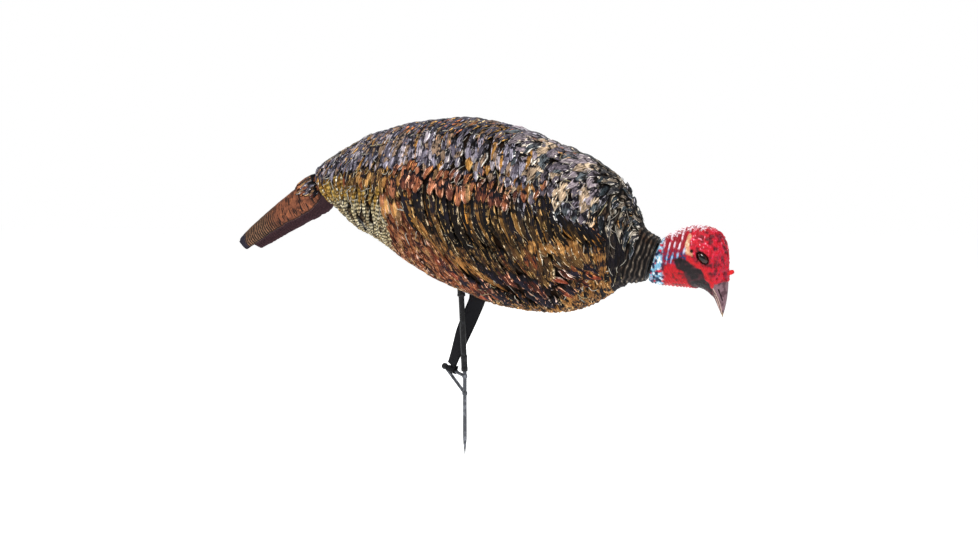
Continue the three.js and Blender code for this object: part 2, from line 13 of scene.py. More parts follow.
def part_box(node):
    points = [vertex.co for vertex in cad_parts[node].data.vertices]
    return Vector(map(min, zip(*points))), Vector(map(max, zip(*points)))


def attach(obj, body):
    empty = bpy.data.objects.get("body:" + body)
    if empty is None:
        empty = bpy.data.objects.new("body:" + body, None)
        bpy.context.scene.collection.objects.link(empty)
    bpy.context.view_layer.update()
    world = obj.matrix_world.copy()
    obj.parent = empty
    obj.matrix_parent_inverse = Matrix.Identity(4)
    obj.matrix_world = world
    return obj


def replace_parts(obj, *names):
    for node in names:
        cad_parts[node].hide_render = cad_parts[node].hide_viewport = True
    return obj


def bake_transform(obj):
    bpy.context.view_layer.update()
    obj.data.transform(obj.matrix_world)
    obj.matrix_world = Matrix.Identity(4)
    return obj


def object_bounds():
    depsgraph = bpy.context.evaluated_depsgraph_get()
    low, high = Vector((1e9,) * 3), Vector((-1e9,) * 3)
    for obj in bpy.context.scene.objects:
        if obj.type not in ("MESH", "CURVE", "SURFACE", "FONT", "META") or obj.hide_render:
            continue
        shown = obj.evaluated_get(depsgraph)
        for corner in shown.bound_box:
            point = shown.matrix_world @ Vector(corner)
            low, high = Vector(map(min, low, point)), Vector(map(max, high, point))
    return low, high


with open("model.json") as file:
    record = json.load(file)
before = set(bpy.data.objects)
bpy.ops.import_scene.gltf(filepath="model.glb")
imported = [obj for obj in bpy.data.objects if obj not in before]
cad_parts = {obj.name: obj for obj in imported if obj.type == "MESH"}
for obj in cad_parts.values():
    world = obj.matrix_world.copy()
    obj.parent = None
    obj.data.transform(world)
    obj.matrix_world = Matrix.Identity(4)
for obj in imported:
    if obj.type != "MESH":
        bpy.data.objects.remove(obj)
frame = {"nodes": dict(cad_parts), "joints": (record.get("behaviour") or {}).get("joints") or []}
cad_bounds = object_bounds()

MM = 0.001
SEED = 41


def joint(name):
    return next(j for j in frame["joints"] if j["name"] == name)


# ---------------------------------------------------------------- camera

VIEW_AZIMUTH = 15.0
VIEW_ELEVATION = 3.0
VIEW_DISTANCE = 2.5
VIEW_LENS = 56.6
VIEW_AIM = Vector((0.041, 0.0, 0.1675))


def make_camera():
    turn, rise = math.radians(VIEW_AZIMUTH), math.radians(VIEW_ELEVATION)
    outward = Vector((math.sin(turn) * math.cos(rise), -math.cos(turn) * math.cos(rise), math.sin(rise)))
    camera = bpy.data.objects.new("camera", bpy.data.cameras.new("camera"))
    bpy.context.scene.collection.objects.link(camera)
    camera.data.lens = VIEW_LENS
    camera.location = VIEW_AIM + outward * VIEW_DISTANCE
    camera.rotation_euler = outward.to_track_quat("Z", "Y").to_euler()
    bpy.context.scene.camera = camera


make_camera()


# ---------------------------------------------------------------- small helpers

def smooth(low, high, value):
    """0 below low, 1 above high, with an eased ramp between."""
    t = np.clip((np.asarray(value, float) - low) / (high - low), 0, 1)
    return t * t * (3 - 2 * t)


def blend(a, b, share):
    return a + (b - a) * share


def tint(code):
    """A linear colour from a six-digit web colour."""
    parts = [int(code[i : i + 2], 16) / 255 for i in (0, 2, 4)]
    return np.array([c / 12.92 if c <= 0.04045 else ((c + 0.055) / 1.055) ** 2.4 for c in parts])


def unit(vectors):
    return vectors / np.maximum(np.linalg.norm(vectors, axis=-1, keepdims=True), 1e-12)


def link(name, mesh):
    piece = bpy.data.objects.new(name, mesh)
    bpy.context.scene.collection.objects.link(piece)
    return piece


def finished(name, shape):
    """A bmesh made into a linked object with smooth faces."""
    mesh = bpy.data.meshes.new(name)
    shape.to_mesh(mesh)
    shape.free()
    for polygon in mesh.polygons:
        polygon.use_smooth = True
    return link(name, mesh)


def thin_plate(columns, rows, thickness):
    """A closed flat plate, one unit square, with its UV map."""
    shape = bmesh.new()
    shape.loops.layers.uv.new("UVMap")
    bmesh.ops.create_grid(shape, x_segments=columns, y_segments=rows, size=0.5, calc_uvs=True)
    bmesh.ops.solidify(shape, geom=shape.faces[:], thickness=thickness)
    return shape


def bent(name, shape, points):
    """A bmesh with its vertices moved to points, made into a linked object that faces outwards."""
    for vertex, point in zip(shape.verts, points):
        vertex.co = Vector(point)
    bmesh.ops.recalc_face_normals(shape, faces=shape.faces)
    return finished(name, shape)


def relaxed(path, rounds):
    """A row of points with its bends eased and its two ends kept."""
    for _ in range(rounds):
        path[1:-1] = path[1:-1] * 0.5 + (path[:-2] + path[2:]) * 0.25
    return path


def paint_points(mesh, name, colours):
    layer = mesh.attributes.new(name, "FLOAT_COLOR", "POINT")
    flat = np.ones((len(mesh.vertices), 4), np.float32)
    flat[:, :3] = colours
    layer.data.foreach_set("color", flat.ravel())


def mark_points(mesh, name, values):
    layer = mesh.attributes.new(name, "FLOAT_VECTOR", "POINT")
    layer.data.foreach_set("vector", np.asarray(values, np.float32).ravel())


def get_points(mesh):
    flat = np.empty(len(mesh.vertices) * 3, np.float32)
    mesh.vertices.foreach_get("co", flat)
    return flat.reshape(-1, 3).astype(float)


def set_points(mesh, points):
    mesh.vertices.foreach_set("co", np.asarray(points, np.float32).ravel())
    mesh.update()


class Grain:
    """Smooth value noise in three dimensions, from a seeded lattice."""

    SIZE = 32

    def __init__(self, seed):
        self.lattice = np.random.default_rng(seed).random((self.SIZE,) * 3)

    def __call__(self, points, pitch):
        """Values from -1 to 1 that change over about one pitch, given in metres."""
        scaled = np.asarray(points) / pitch
        cell = np.floor(scaled).astype(int)
        part = scaled - cell
        part = part * part * (3 - 2 * part)
        total = 0
        for corner in np.ndindex(2, 2, 2):
            index = (cell + corner) % self.SIZE
            share = np.prod(np.where(corner, part, 1 - part), axis=-1)
            total = total + share * self.lattice[index[..., 0], index[..., 1], index[..., 2]]
        return total * 2 - 1


grain = Grain(SEED)


# ---------------------------------------------------------------- materials

class Wire:
    """A shader socket that can be used in sums; each operator adds a Math node."""

    def __init__(self, finish, socket):
        self.finish = finish
        self.socket = socket

    def math(self, operation, *others):
        values = dict(enumerate((self,) + others))
        return self.finish.add("Math", {"operation": operation}, values)

    def __add__(self, other):
        return self.math("ADD", other)

    def __sub__(self, other):
        return self.math("SUBTRACT", other)

    def __rsub__(self, other):
        return self.finish.add("Math", {"operation": "SUBTRACT"}, {0: other, 1: self})

    def __mul__(self, other):
        return self.math("MULTIPLY", other)

    __radd__ = __add__
    __rmul__ = __mul__

    def size(self):
        return self.math("ABSOLUTE")

    def wave(self):
        """A sine that runs from 0 to 1."""
        return self.math("SINE") * 0.5 + 0.5

    def ramp(self, low, high):
        """0 below low, 1 above high, eased between."""
        values = {"Value": self, "From Min": low, "From Max": high}
        return self.finish.add("MapRange", {"interpolation_type": "SMOOTHSTEP"}, values)


class Finish:
    """A material with one Principled shader, built from expressions."""

    def __init__(self, name, **shader):
        self.material = bpy.data.materials.new(name)
        self.material.use_nodes = True
        self.tree = self.material.node_tree
        self.tree.nodes.clear()
        output = self.tree.nodes.new("ShaderNodeOutputMaterial")
        self.shader = self.tree.nodes.new("ShaderNodeBsdfPrincipled")
        self.tree.links.new(self.shader.outputs[0], output.inputs[0])
        self.set(**shader)

    def set(self, **sockets):
        """Sets the shader's sockets; an underscore in a name stands for a space."""
        for name, value in sockets.items():
            self.plug(self.shader.inputs[name.replace("_", " ")], value)

    def plug(self, socket, value):
        if isinstance(value, Wire):
            self.tree.links.new(value.socket, socket)
        elif isinstance(value, (int, float)):
            socket.default_value = float(value)
        else:
            numbers = [float(v) for v in value]
            wanted = len(socket.default_value)
            socket.default_value = numbers + [1.0] * (wanted - len(numbers))

    def add(self, kind, settings=None, sockets=None, out=0):
        node = self.tree.nodes.new("ShaderNode" + kind)
        for name, value in (settings or {}).items():
            setattr(node, name, value)
        for name, value in (sockets or {}).items():
            self.plug(node.inputs[name], value)
        return Wire(self, node.outputs[out])

    def mix(self, share, first, second, mode="MIX"):
        settings = {"data_type": "RGBA", "blend_type": mode}
        return self.add("Mix", settings, {0: share, 6: first, 7: second}, out=2)

    def shaded(self, colour, value):
        """A colour made darker or lighter by a value."""
        return self.mix(1.0, colour, self.join(value, value, value), "MULTIPLY")

    def places(self):
        return self.add("TexCoord", out=3)

    def uv(self):
        """The two numbers of the piece's own UV map."""
        where = self.add("UVMap", {"uv_map": "UVMap"})
        return self.split(where)[:2]

    def split(self, vector):
        node = self.tree.nodes.new("ShaderNodeSeparateXYZ")
        self.plug(node.inputs[0], vector)
        return [Wire(self, socket) for socket in node.outputs]

    def join(self, x, y, z):
        return self.add("CombineXYZ", None, {0: x, 1: y, 2: z})

    def own(self, name, out="Color"):
        return self.add("Attribute", {"attribute_name": name}, out=out)

    def noise(self, scale, detail=2.0, vector=None):
        values = {"Vector": vector or self.places(), "Scale": scale, "Detail": detail}
        return self.add("TexNoise", None, values)

    def bump(self, height, strength, distance):
        values = {"Height": height, "Strength": strength, "Distance": distance}
        self.set(Normal=self.add("Bump", None, values))


def feather_finish():
    """Painted feather strips: streaks, a light edge that is partly pale edge colour and partly painted
    highlight, sides and root darkened as painted shade, and optional cross bars.
    """
    f = Finish("feather_paint", Specular_IOR_Level=0.08)
    across, along = f.uv()
    side = (across * 2 - 1).size()
    bars, length, seed = f.split(f.own("marks", "Vector"))
    streak = f.noise(1.0, 3, f.join(across * 9 + seed * 37, along * length * 0.09, seed * 11))
    cloud = f.noise(130, 3)
    fine = f.noise(750, 3)
    lean = along + (cloud - 0.5) * 1.9 + (streak - 0.5) * 1.3
    body = f.mix(lean.ramp(0.2, 0.7), f.own("root_tint"), f.own("tip_tint"))
    # A light edge along each strip: partly the feathers' pale edge colour, partly painted highlight.
    pale_edge_and_highlight = (side + (streak - 0.5) * 2.2 + (fine - 0.5) * 0.6).ramp(0.62, 0.8)
    pale_edge_and_highlight = pale_edge_and_highlight * (cloud + (seed - 0.5) * 0.16).ramp(0.44, 0.56)
    edged = f.mix(pale_edge_and_highlight, body, f.own("rim_tint"))
    stripes = (along * length * 0.95 + (cloud - 0.5) * 5 + side * 0.8).wave().ramp(0.40, 0.56)
    barred = f.mix(stripes * bars, edged, tint("0c0908"))
    # Each strip's sides darkened: painted shade in the gaps between the strips.
    painted_gap_shade = 1 - side.ramp(0.7, 1.0) * 0.8
    # Darker towards the root, as painted shade under the feather above, and darker again towards the tip.
    root_shade_and_dark_tip = (along.ramp(0.0, 0.3) * 0.8 + 0.2) * (1 - along.ramp(0.82, 1.0) * 0.55)
    value = ((streak - 0.5) * 3.4 + 0.92) * ((fine - 0.5) * 1.5 + 1.0) * painted_gap_shade * root_shade_and_dark_tip
    value = value.math("MAXIMUM", 0.04)
    f.set(Base_Color=f.shaded(barred, value), Roughness=0.5 + fine * 0.4)
    f.bump(streak * 1.6 + fine * 0.8 + stripes * bars * 0.3, 1.0, 0.0014)
    return f.material


TAIL_BARS = 300.0  # how far the fine bars' wave runs over the tail's length, in radians


def tail_finish():
    """Rust-brown tail feathers with cross marks, fine bars near the end and a dark end band."""
    f = Finish("tail_paint", Specular_IOR_Level=0.12)
    under, across, along = f.split(f.own("marks", "Vector"))
    cloud = f.noise(70, 3)
    fine = f.noise(900, 3)
    rust = f.mix(cloud.ramp(0.4, 0.62), tint("7c4a34"), tint("4c2c20"))
    rust = f.mix(f.noise(160, 2).ramp(0.55, 0.68) * 0.8, rust, tint("985c3c"))
    olive = f.mix(f.noise(240, 2).ramp(0.45, 0.6), tint("5e4634"), tint("846048"))
    base = f.mix(along.ramp(0.52, 0.74), rust, olive)
    ripple = (along * TAIL_BARS + (cloud - 0.5) * 3.0).wave()
    bars = ripple.ramp(0.5, 0.66) * along.ramp(0.5, 0.64)
    flecks = f.noise(1.0, 2, f.join(across * 4, along * 66, 0.0))
    marks = flecks.ramp(0.55, 0.61) * (1 - along.ramp(0.5, 0.7))
    striped = f.mix((bars + marks).math("MINIMUM", 1.0), base, tint("171010"))
    band = (along + (fine - 0.5) * 0.02).ramp(0.92, 0.94)
    banded = f.mix(band, striped, f.mix(fine, tint("17151e"), tint("2e2a38")))
    below = f.mix(fine.ramp(0.3, 0.7), tint("2a1c24"), tint("4a3034"))
    # The top face darkened along both edges of the arch: painted shade at the tail's edges.
    rim = across.size().ramp(0.93, 1.0)
    coloured = f.mix(under, banded, below)
    coloured = f.mix(rim * (1 - under) * 0.9, coloured, tint("0d0a0b"))
    value = fine * 0.9 + 0.5
    f.set(Base_Color=f.shaded(coloured, value), Roughness=0.45 + fine * 0.4)
    f.bump(fine * 0.8 + ripple * bars + f.noise(300, 2), 0.7, 0.0008)
    return f.material


def gap_shade_underlay_finish():
    """Near-black paint on the sunk body: painted shade for the gaps that show between the feathers."""
    f = Finish("gap_shade_paint", Specular_IOR_Level=0.04)
    cloud = f.noise(60, 3)
    f.set(Base_Color=f.mix(cloud.ramp(0.35, 0.7), tint("0d0a09"), tint("2a1d15")))
    f.set(Roughness=0.8 + cloud * 0.1)
    f.bump(f.noise(500, 3), 0.6, 0.001)
    return f.material


def painted_skin_finish(name, gloss, pit, shine):
    """Colours laid on the mesh by region, with a fine pebbled surface."""
    f = Finish(name, Specular_IOR_Level=shine)
    pebble = f.add("TexVoronoi", None, {"Vector": f.places(), "Scale": 520})
    fine = f.noise(700, 3)
    f.set(Base_Color=f.shaded(f.own("paint"), (fine - 0.5) * 0.9 + 0.95))
    f.set(Roughness=gloss + fine * 0.25)
    f.bump(pebble * 0.7 + fine * 0.6, 0.7, pit)
    return f.material


def plain_finish(name, colour, second, rough, grain_scale, metal=0.0):
    """A moulded or painted hard surface with a faint grain and scuffs."""
    f = Finish(name, Metallic=metal, Specular_IOR_Level=0.2)
    scuff = f.noise(grain_scale * 0.2, 4)
    fine = f.noise(grain_scale, 2)
    f.set(Base_Color=f.mix(scuff.ramp(0.45, 0.75), tint(colour), tint(second)))
    f.set(Roughness=rough + scuff * 0.25 - 0.1)
    f.bump(fine, 0.4, 0.0003)
    return f.material


def eye_finish():
    f = Finish("eye_lacquer", Roughness=0.08, Coat_Weight=0.4, Coat_Roughness=0.03, Specular_IOR_Level=0.2)
    f.set(Base_Color=f.own("paint"))
    return f.material


def webbing_finish():
    """Black webbing: a fine plain weave across and along, with darker edges."""
    f = Finish("strap_webbing", Roughness=0.85, Specular_IOR_Level=0.1)
    across, along = f.uv()
    warp = (across * 110).wave()
    weft = (along * 620).wave()
    weave = warp * weft + (1 - warp) * (1 - weft)
    edge = (across * 2 - 1).size().ramp(0.8, 0.95)
    cloth = f.mix(weave, tint("0c0c0e"), tint("232327"))
    f.set(Base_Color=f.mix(edge, cloth, tint("070708")))
    f.bump(weave + edge * 0.5, 0.8, 0.0005)
    return f.material


def floor_finish():
    f = Finish("studio_floor", Roughness=0.9, Emission_Strength=0.62)
    f.set(Base_Color=(0.9, 0.9, 0.9), Emission_Color=(1, 1, 1))
    return f.material


FEATHER = feather_finish()
TAIL_PAINT = tail_finish()
GAP_SHADE_UNDERLAY = gap_shade_underlay_finish()
HEAD_PAINT = painted_skin_finish("head_paint", 0.34, 0.0009, 0.22)
NECK_CLOTH = painted_skin_finish("neck_paint", 0.6, 0.0010, 0.08)
EYE_LACQUER = eye_finish()
WEBBING = webbing_finish()
BLACK_PLASTIC = plain_finish("black_plastic", "141415", "26262a", 0.5, 1500)
POLE_PAINT = plain_finish("pole_paint", "0c0c0e", "26272b", 0.35, 900)
STAKE_STEEL = plain_finish("stake_steel", "4a4c51", "7b7e85", 0.42, 700, metal=0.8)


def dress(piece, material):
    piece.data.materials.clear()
    piece.data.materials.append(material)
    return piece


def place(piece, material, body, slot, *nodes):
    """Dresses a piece, rides it on a body and hides the nodes it stands for; the slot is not used."""
    dress(piece, material)
    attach(piece, body)
    if nodes:
        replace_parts(piece, *nodes)
    return piece


# ---------------------------------------------------------------- surfaces to work on

RIGHT = 1
LEFT = -1
NECK = np.array(joint("head_turn")["pos_m"])
NECK_LEAN = math.degrees(math.asin(-joint("head_turn")["axis"][2]))
PULL = -np.array(joint("tail_pull")["axis"])
TAIL_ROOT = np.array([-0.236, 0.0, 0.311])
REAR_LEAN = -24.0


def in_plane(degrees):
    """A direction in the middle plane, leaning forwards from straight up."""
    angle = np.radians(degrees)
    return np.array([np.sin(angle), 0, np.cos(angle)])


class Surface:
    """A CAD piece's outer surface, by share along it and degrees round from its top to the right."""

    STATIONS = 100
    RAYS = 120
    REACH = 0.5  # how far out a ray starts, in metres
    MISSED = 0.04  # the half-size used where a section's top or side isn't found, in metres
    WINDOW = 3  # rays and stations each side of a ray that are compared with it
    OUTLIER = 2.2 * MM
    SWELL = 0.0  # height of the soft waves added to the surface, in millimetres
    SINK = 0.0  # how far the surface is drawn in, in millimetres

    def __init__(self, node):
        shape = bmesh.new()
        shape.from_mesh(frame["nodes"][node].data)
        self.tree = BVHTree.FromBMesh(shape)
        shape.free()
        self.prepare()
        self.cast()

    def prepare(self):
        pass

    def hit(self, centre, ray):
        """The distance from a centre to the outermost surface along a ray."""
        start = centre + ray * self.REACH
        found = self.tree.ray_cast(Vector(start), Vector(-ray), self.REACH * 1.6)
        return np.nan if found[0] is None else float(np.dot(np.array(found[0]) - centre, ray))

    def cast(self):
        """Samples along rays that divide each section as an ellipse is divided."""
        shares = np.linspace(0.004, 0.996, self.STATIONS)
        angles = np.linspace(0, 2 * np.pi, self.RAYS, endpoint=False)
        side = np.array([0, -1.0, 0])
        centres = np.array([self.centre(share) for share in shares])
        rays = np.empty((self.STATIONS, self.RAYS, 3))
        reach = np.empty((self.STATIONS, self.RAYS))
        for i, share in enumerate(shares):
            up = self.up(share)
            high, wide = self.hit(centres[i], up), self.hit(centres[i], side)
            high = self.MISSED if np.isnan(high) else max(high, MM)
            wide = self.MISSED if np.isnan(wide) else max(wide, MM)
            for j, angle in enumerate(angles):
                rays[i, j] = unit(up * high * math.cos(angle) + side * wide * math.sin(angle))
                reach[i, j] = self.hit(centres[i], rays[i, j])
        reach = self.mended(reach)
        grid = centres[:, None] + rays * reach[..., None]
        for _ in range(3):
            grid = relaxed(grid, 1)
            grid[:] = grid * 0.5 + (np.roll(grid, 1, 1) + np.roll(grid, -1, 1)) * 0.25
        normals = self.facing(grid)
        self.points = grid + normals * ((grain(grid, 42 * MM) * self.SWELL - self.SINK) * MM)[..., None]
        self.normals = self.facing(self.points)

    def mended(self, reach):
        """Rays that miss, or fall into a hole, take the middle value of those around them."""
        span = range(-self.WINDOW, self.WINDOW + 1)
        for _ in range(4):
            near = []
            for i in span:
                rows = np.clip(np.arange(self.STATIONS) + i, 0, self.STATIONS - 1)
                near += [np.roll(reach[rows], j, 1) for j in span]
            near = np.stack(near)
            lost = np.isnan(near).all(0)
            middle = np.where(lost, np.nan, np.nanmedian(np.where(lost, 0, near), 0))
            wrong = np.isnan(reach) | (np.abs(reach - middle) > self.OUTLIER)
            reach = np.where(wrong, middle, reach)
        return np.where(np.isnan(reach), 0.03, reach)

    def facing(self, grid):
        along = np.gradient(grid, axis=0)
        around = np.roll(grid, -1, 1) - np.roll(grid, 1, 1)
        return unit(np.cross(around, along))

    def read(self, table, share, degrees):
        row = np.clip(np.asarray(share, float), 0, 1) * (self.STATIONS - 1)
        column = np.asarray(degrees, float) / 360 * self.RAYS
        i = np.clip(np.floor(row).astype(int), 0, self.STATIONS - 2)
        j = np.floor(column).astype(int)
        return self.between(table, i, j % self.RAYS, (j + 1) % self.RAYS, row - i, column - j)

    def between(self, table, i, j, k, u, v):
        """The value a share u from row i to the next and a share v from column j to column k."""
        u, v = u[..., None], v[..., None]
        near = table[i, j] * (1 - v) + table[i, k] * v
        far = table[i + 1, j] * (1 - v) + table[i + 1, k] * v
        return near * (1 - u) + far * u

    def point(self, share, degrees):
        return self.read(self.points, share, degrees)

    def normal(self, share, degrees):
        return unit(self.read(self.normals, share, degrees))

    def walk(self, share, degrees, heading, step):
        """One step over the surface: heading 0 runs to the start, 90 round from the top."""
        d = 0.004
        along = np.linalg.norm(self.point(share + d, degrees) - self.point(share - d, degrees), axis=-1)
        around = np.linalg.norm(self.point(share, degrees + 2) - self.point(share, degrees - 2), axis=-1)
        turn = np.radians(heading)
        share = share - np.cos(turn) * step * (2 * d) / np.maximum(along, 1e-5)
        degrees = degrees + np.sin(turn) * step * 4 / np.maximum(around, 1e-5)
        return share, degrees


class BodySurface(Surface):
    """The body from the tail's socket at share 0 to the neck joint at share 1."""

    SWELL = 1.8
    SINK = 2.0

    def prepare(self):
        """Centres halfway between the top and bottom of the shell, joined to the two open ends."""
        rows = [(TAIL_ROOT[0], TAIL_ROOT[2])]
        for x in np.linspace(-0.185, 0.262, 24):
            here = np.array([x, 0, 0.27])
            rows.append((x, here[2] + (self.hit(here, in_plane(0)) - self.hit(here, in_plane(180))) / 2))
        rows.append((NECK[0], NECK[2]))
        self.spine = np.array(rows)
        middle = np.stack([self.spine[k : len(rows) - 4 + k, 1] for k in range(5)])
        self.spine[2:-2, 1] = np.median(middle, 0)

    def centre(self, share):
        x = blend(TAIL_ROOT[0], NECK[0], share)
        return np.array([x, 0, np.interp(x, self.spine[:, 0], self.spine[:, 1])])

    def up(self, share):
        return in_plane(REAR_LEAN * (1 - smooth(0, 0.14, share)) + NECK_LEAN * smooth(0.86, 1, share))

    def share(self, x):
        """The share along the body of a station, from its X in metres."""
        return (np.asarray(x) - TAIL_ROOT[0]) / (NECK[0] - TAIL_ROOT[0])


class HeadSurface(Surface):
    """The head from the neck joint at share 0 to the beak's tip at share 1."""

    RAYS = 110
    WINDOW = 4
    OUTLIER = 1.4 * MM
    # The middle of each section from the neck joint, forwards and upwards, and its top's lean.
    SECTIONS = np.array([
        (1, -0.3, 18.0), (21, 2, 11.4), (46, 5, 8.9), (68, 5, 11.0), (84.5, 1, 14.3), (95, -8, 17.4),
        (100, -20, 20.6), (102.5, -32, 23.2), (104.5, -45, 27.6), (105.7, -59.5, 34.4),
        (106.2, -75.5, 41.5), (106.0, -89.0, 40.0),
    ])

    def section(self, share):
        where = share * (len(self.SECTIONS) - 1)
        knots = np.arange(len(self.SECTIONS))
        return [np.interp(where, knots, self.SECTIONS[:, k]) for k in range(3)]

    def centre(self, share):
        forward, upward, _ = self.section(share)
        return NECK + np.array([forward, 0, upward]) * MM

    def up(self, share):
        return in_plane(self.section(share)[2])


class TailSurface(Surface):
    """The folded tail's arched upper face, from the socket at share 1 to the tip at share 0."""

    STATIONS = 60
    RAYS = 80
    INSIDE = 0.016
    LENGTH = 0.1966
    SPAN = 160

    def centre(self, share):
        return TAIL_ROOT + PULL * (self.INSIDE - (1 - share) * self.LENGTH)

    def cast(self):
        """Reads the arch as a height over its width, out to each edge."""
        across = np.array([0, -1.0, 0])
        upward = np.cross(across, PULL)
        grid = np.empty((self.STATIONS, self.RAYS, 3))
        for i, share in enumerate(np.linspace(0.0, 1.0, self.STATIONS)):
            centre = self.centre(share)
            half = 0.07
            while half > 0.003 and np.isnan(self.hit(centre + across * half, upward)):
                half -= 0.0005
            half -= 0.0006
            for j in range(self.RAYS):
                angle = math.radians((j / (self.RAYS - 1) - 0.5) * self.SPAN)
                here = centre + across * half * math.sin(angle) / math.sin(math.radians(self.SPAN / 2))
                grid[i, j] = here + upward * self.hit(here, upward)
        for row in grid:
            lost = np.isnan(row[:, 0])
            for k in range(3):
                row[lost, k] = np.interp(np.flatnonzero(lost), np.flatnonzero(~lost), row[~lost, k])
        self.points = grid
        along = np.gradient(grid, axis=0)
        around = np.gradient(grid, axis=1)
        self.normals = unit(np.cross(around, along))

    def read(self, table, share, degrees):
        row = np.clip(np.asarray(share, float), 0, 1) * (self.STATIONS - 1)
        column = np.clip(np.asarray(degrees, float) / self.SPAN + 0.5, 0, 1) * (self.RAYS - 1)
        i = np.clip(np.floor(row).astype(int), 0, self.STATIONS - 2)
        j = np.clip(np.floor(column).astype(int), 0, self.RAYS - 2)
        return self.between(table, i, j, j + 1, row - i, column - j)


skin = BodySurface("body_shell")
head_skin = HeadSurface("head")
tail_skin = TailSurface("tail")


def sleeve(name, surface, first, last, along, around, relief, wall=1.2, tip=False):
    """A closed tube on a stretch of a surface, and each vertex's place in millimetres.

    relief gives the height above the surface in millimetres, from the place in millimetres and the share.
    """
    shape = bmesh.new()
    bmesh.ops.create_cone(shape, cap_ends=tip, segments=around, radius1=1, radius2=1, depth=1)
    bmesh.ops.delete(shape, geom=[f for f in shape.faces if f.calc_center_median().z < -0.4],
                     context="FACES_ONLY")
    long_edges = [e for e in shape.edges if abs(e.verts[0].co.z - e.verts[1].co.z) > 0.5]
    bmesh.ops.subdivide_edges(shape, edges=long_edges, cuts=along - 1, use_grid_fill=True)
    bmesh.ops.solidify(shape, geom=shape.faces[:], thickness=0.004)
    template = np.array([v.co for v in shape.verts])
    radius = np.hypot(template[:, 0], template[:, 1])
    inner = radius < (radius.max() + radius.min()) / 2
    share = blend(first, last, np.clip(template[:, 2] + 0.5, 0, 1))
    degrees = np.degrees(np.arctan2(template[:, 0], template[:, 1])) % 360
    base, normal = surface.point(share, degrees), surface.normal(share, degrees)
    height = relief(base / MM, share)
    points = base + normal * ((height - inner * wall) * MM)[:, None]
    return bent(name, shape, points), base / MM


# ---------------------------------------------------------------- feathers

TINTS = ("root_tint", "tip_tint", "rim_tint")
ROOT_SCATTER = 1.2
HEADING_SCATTER = 4


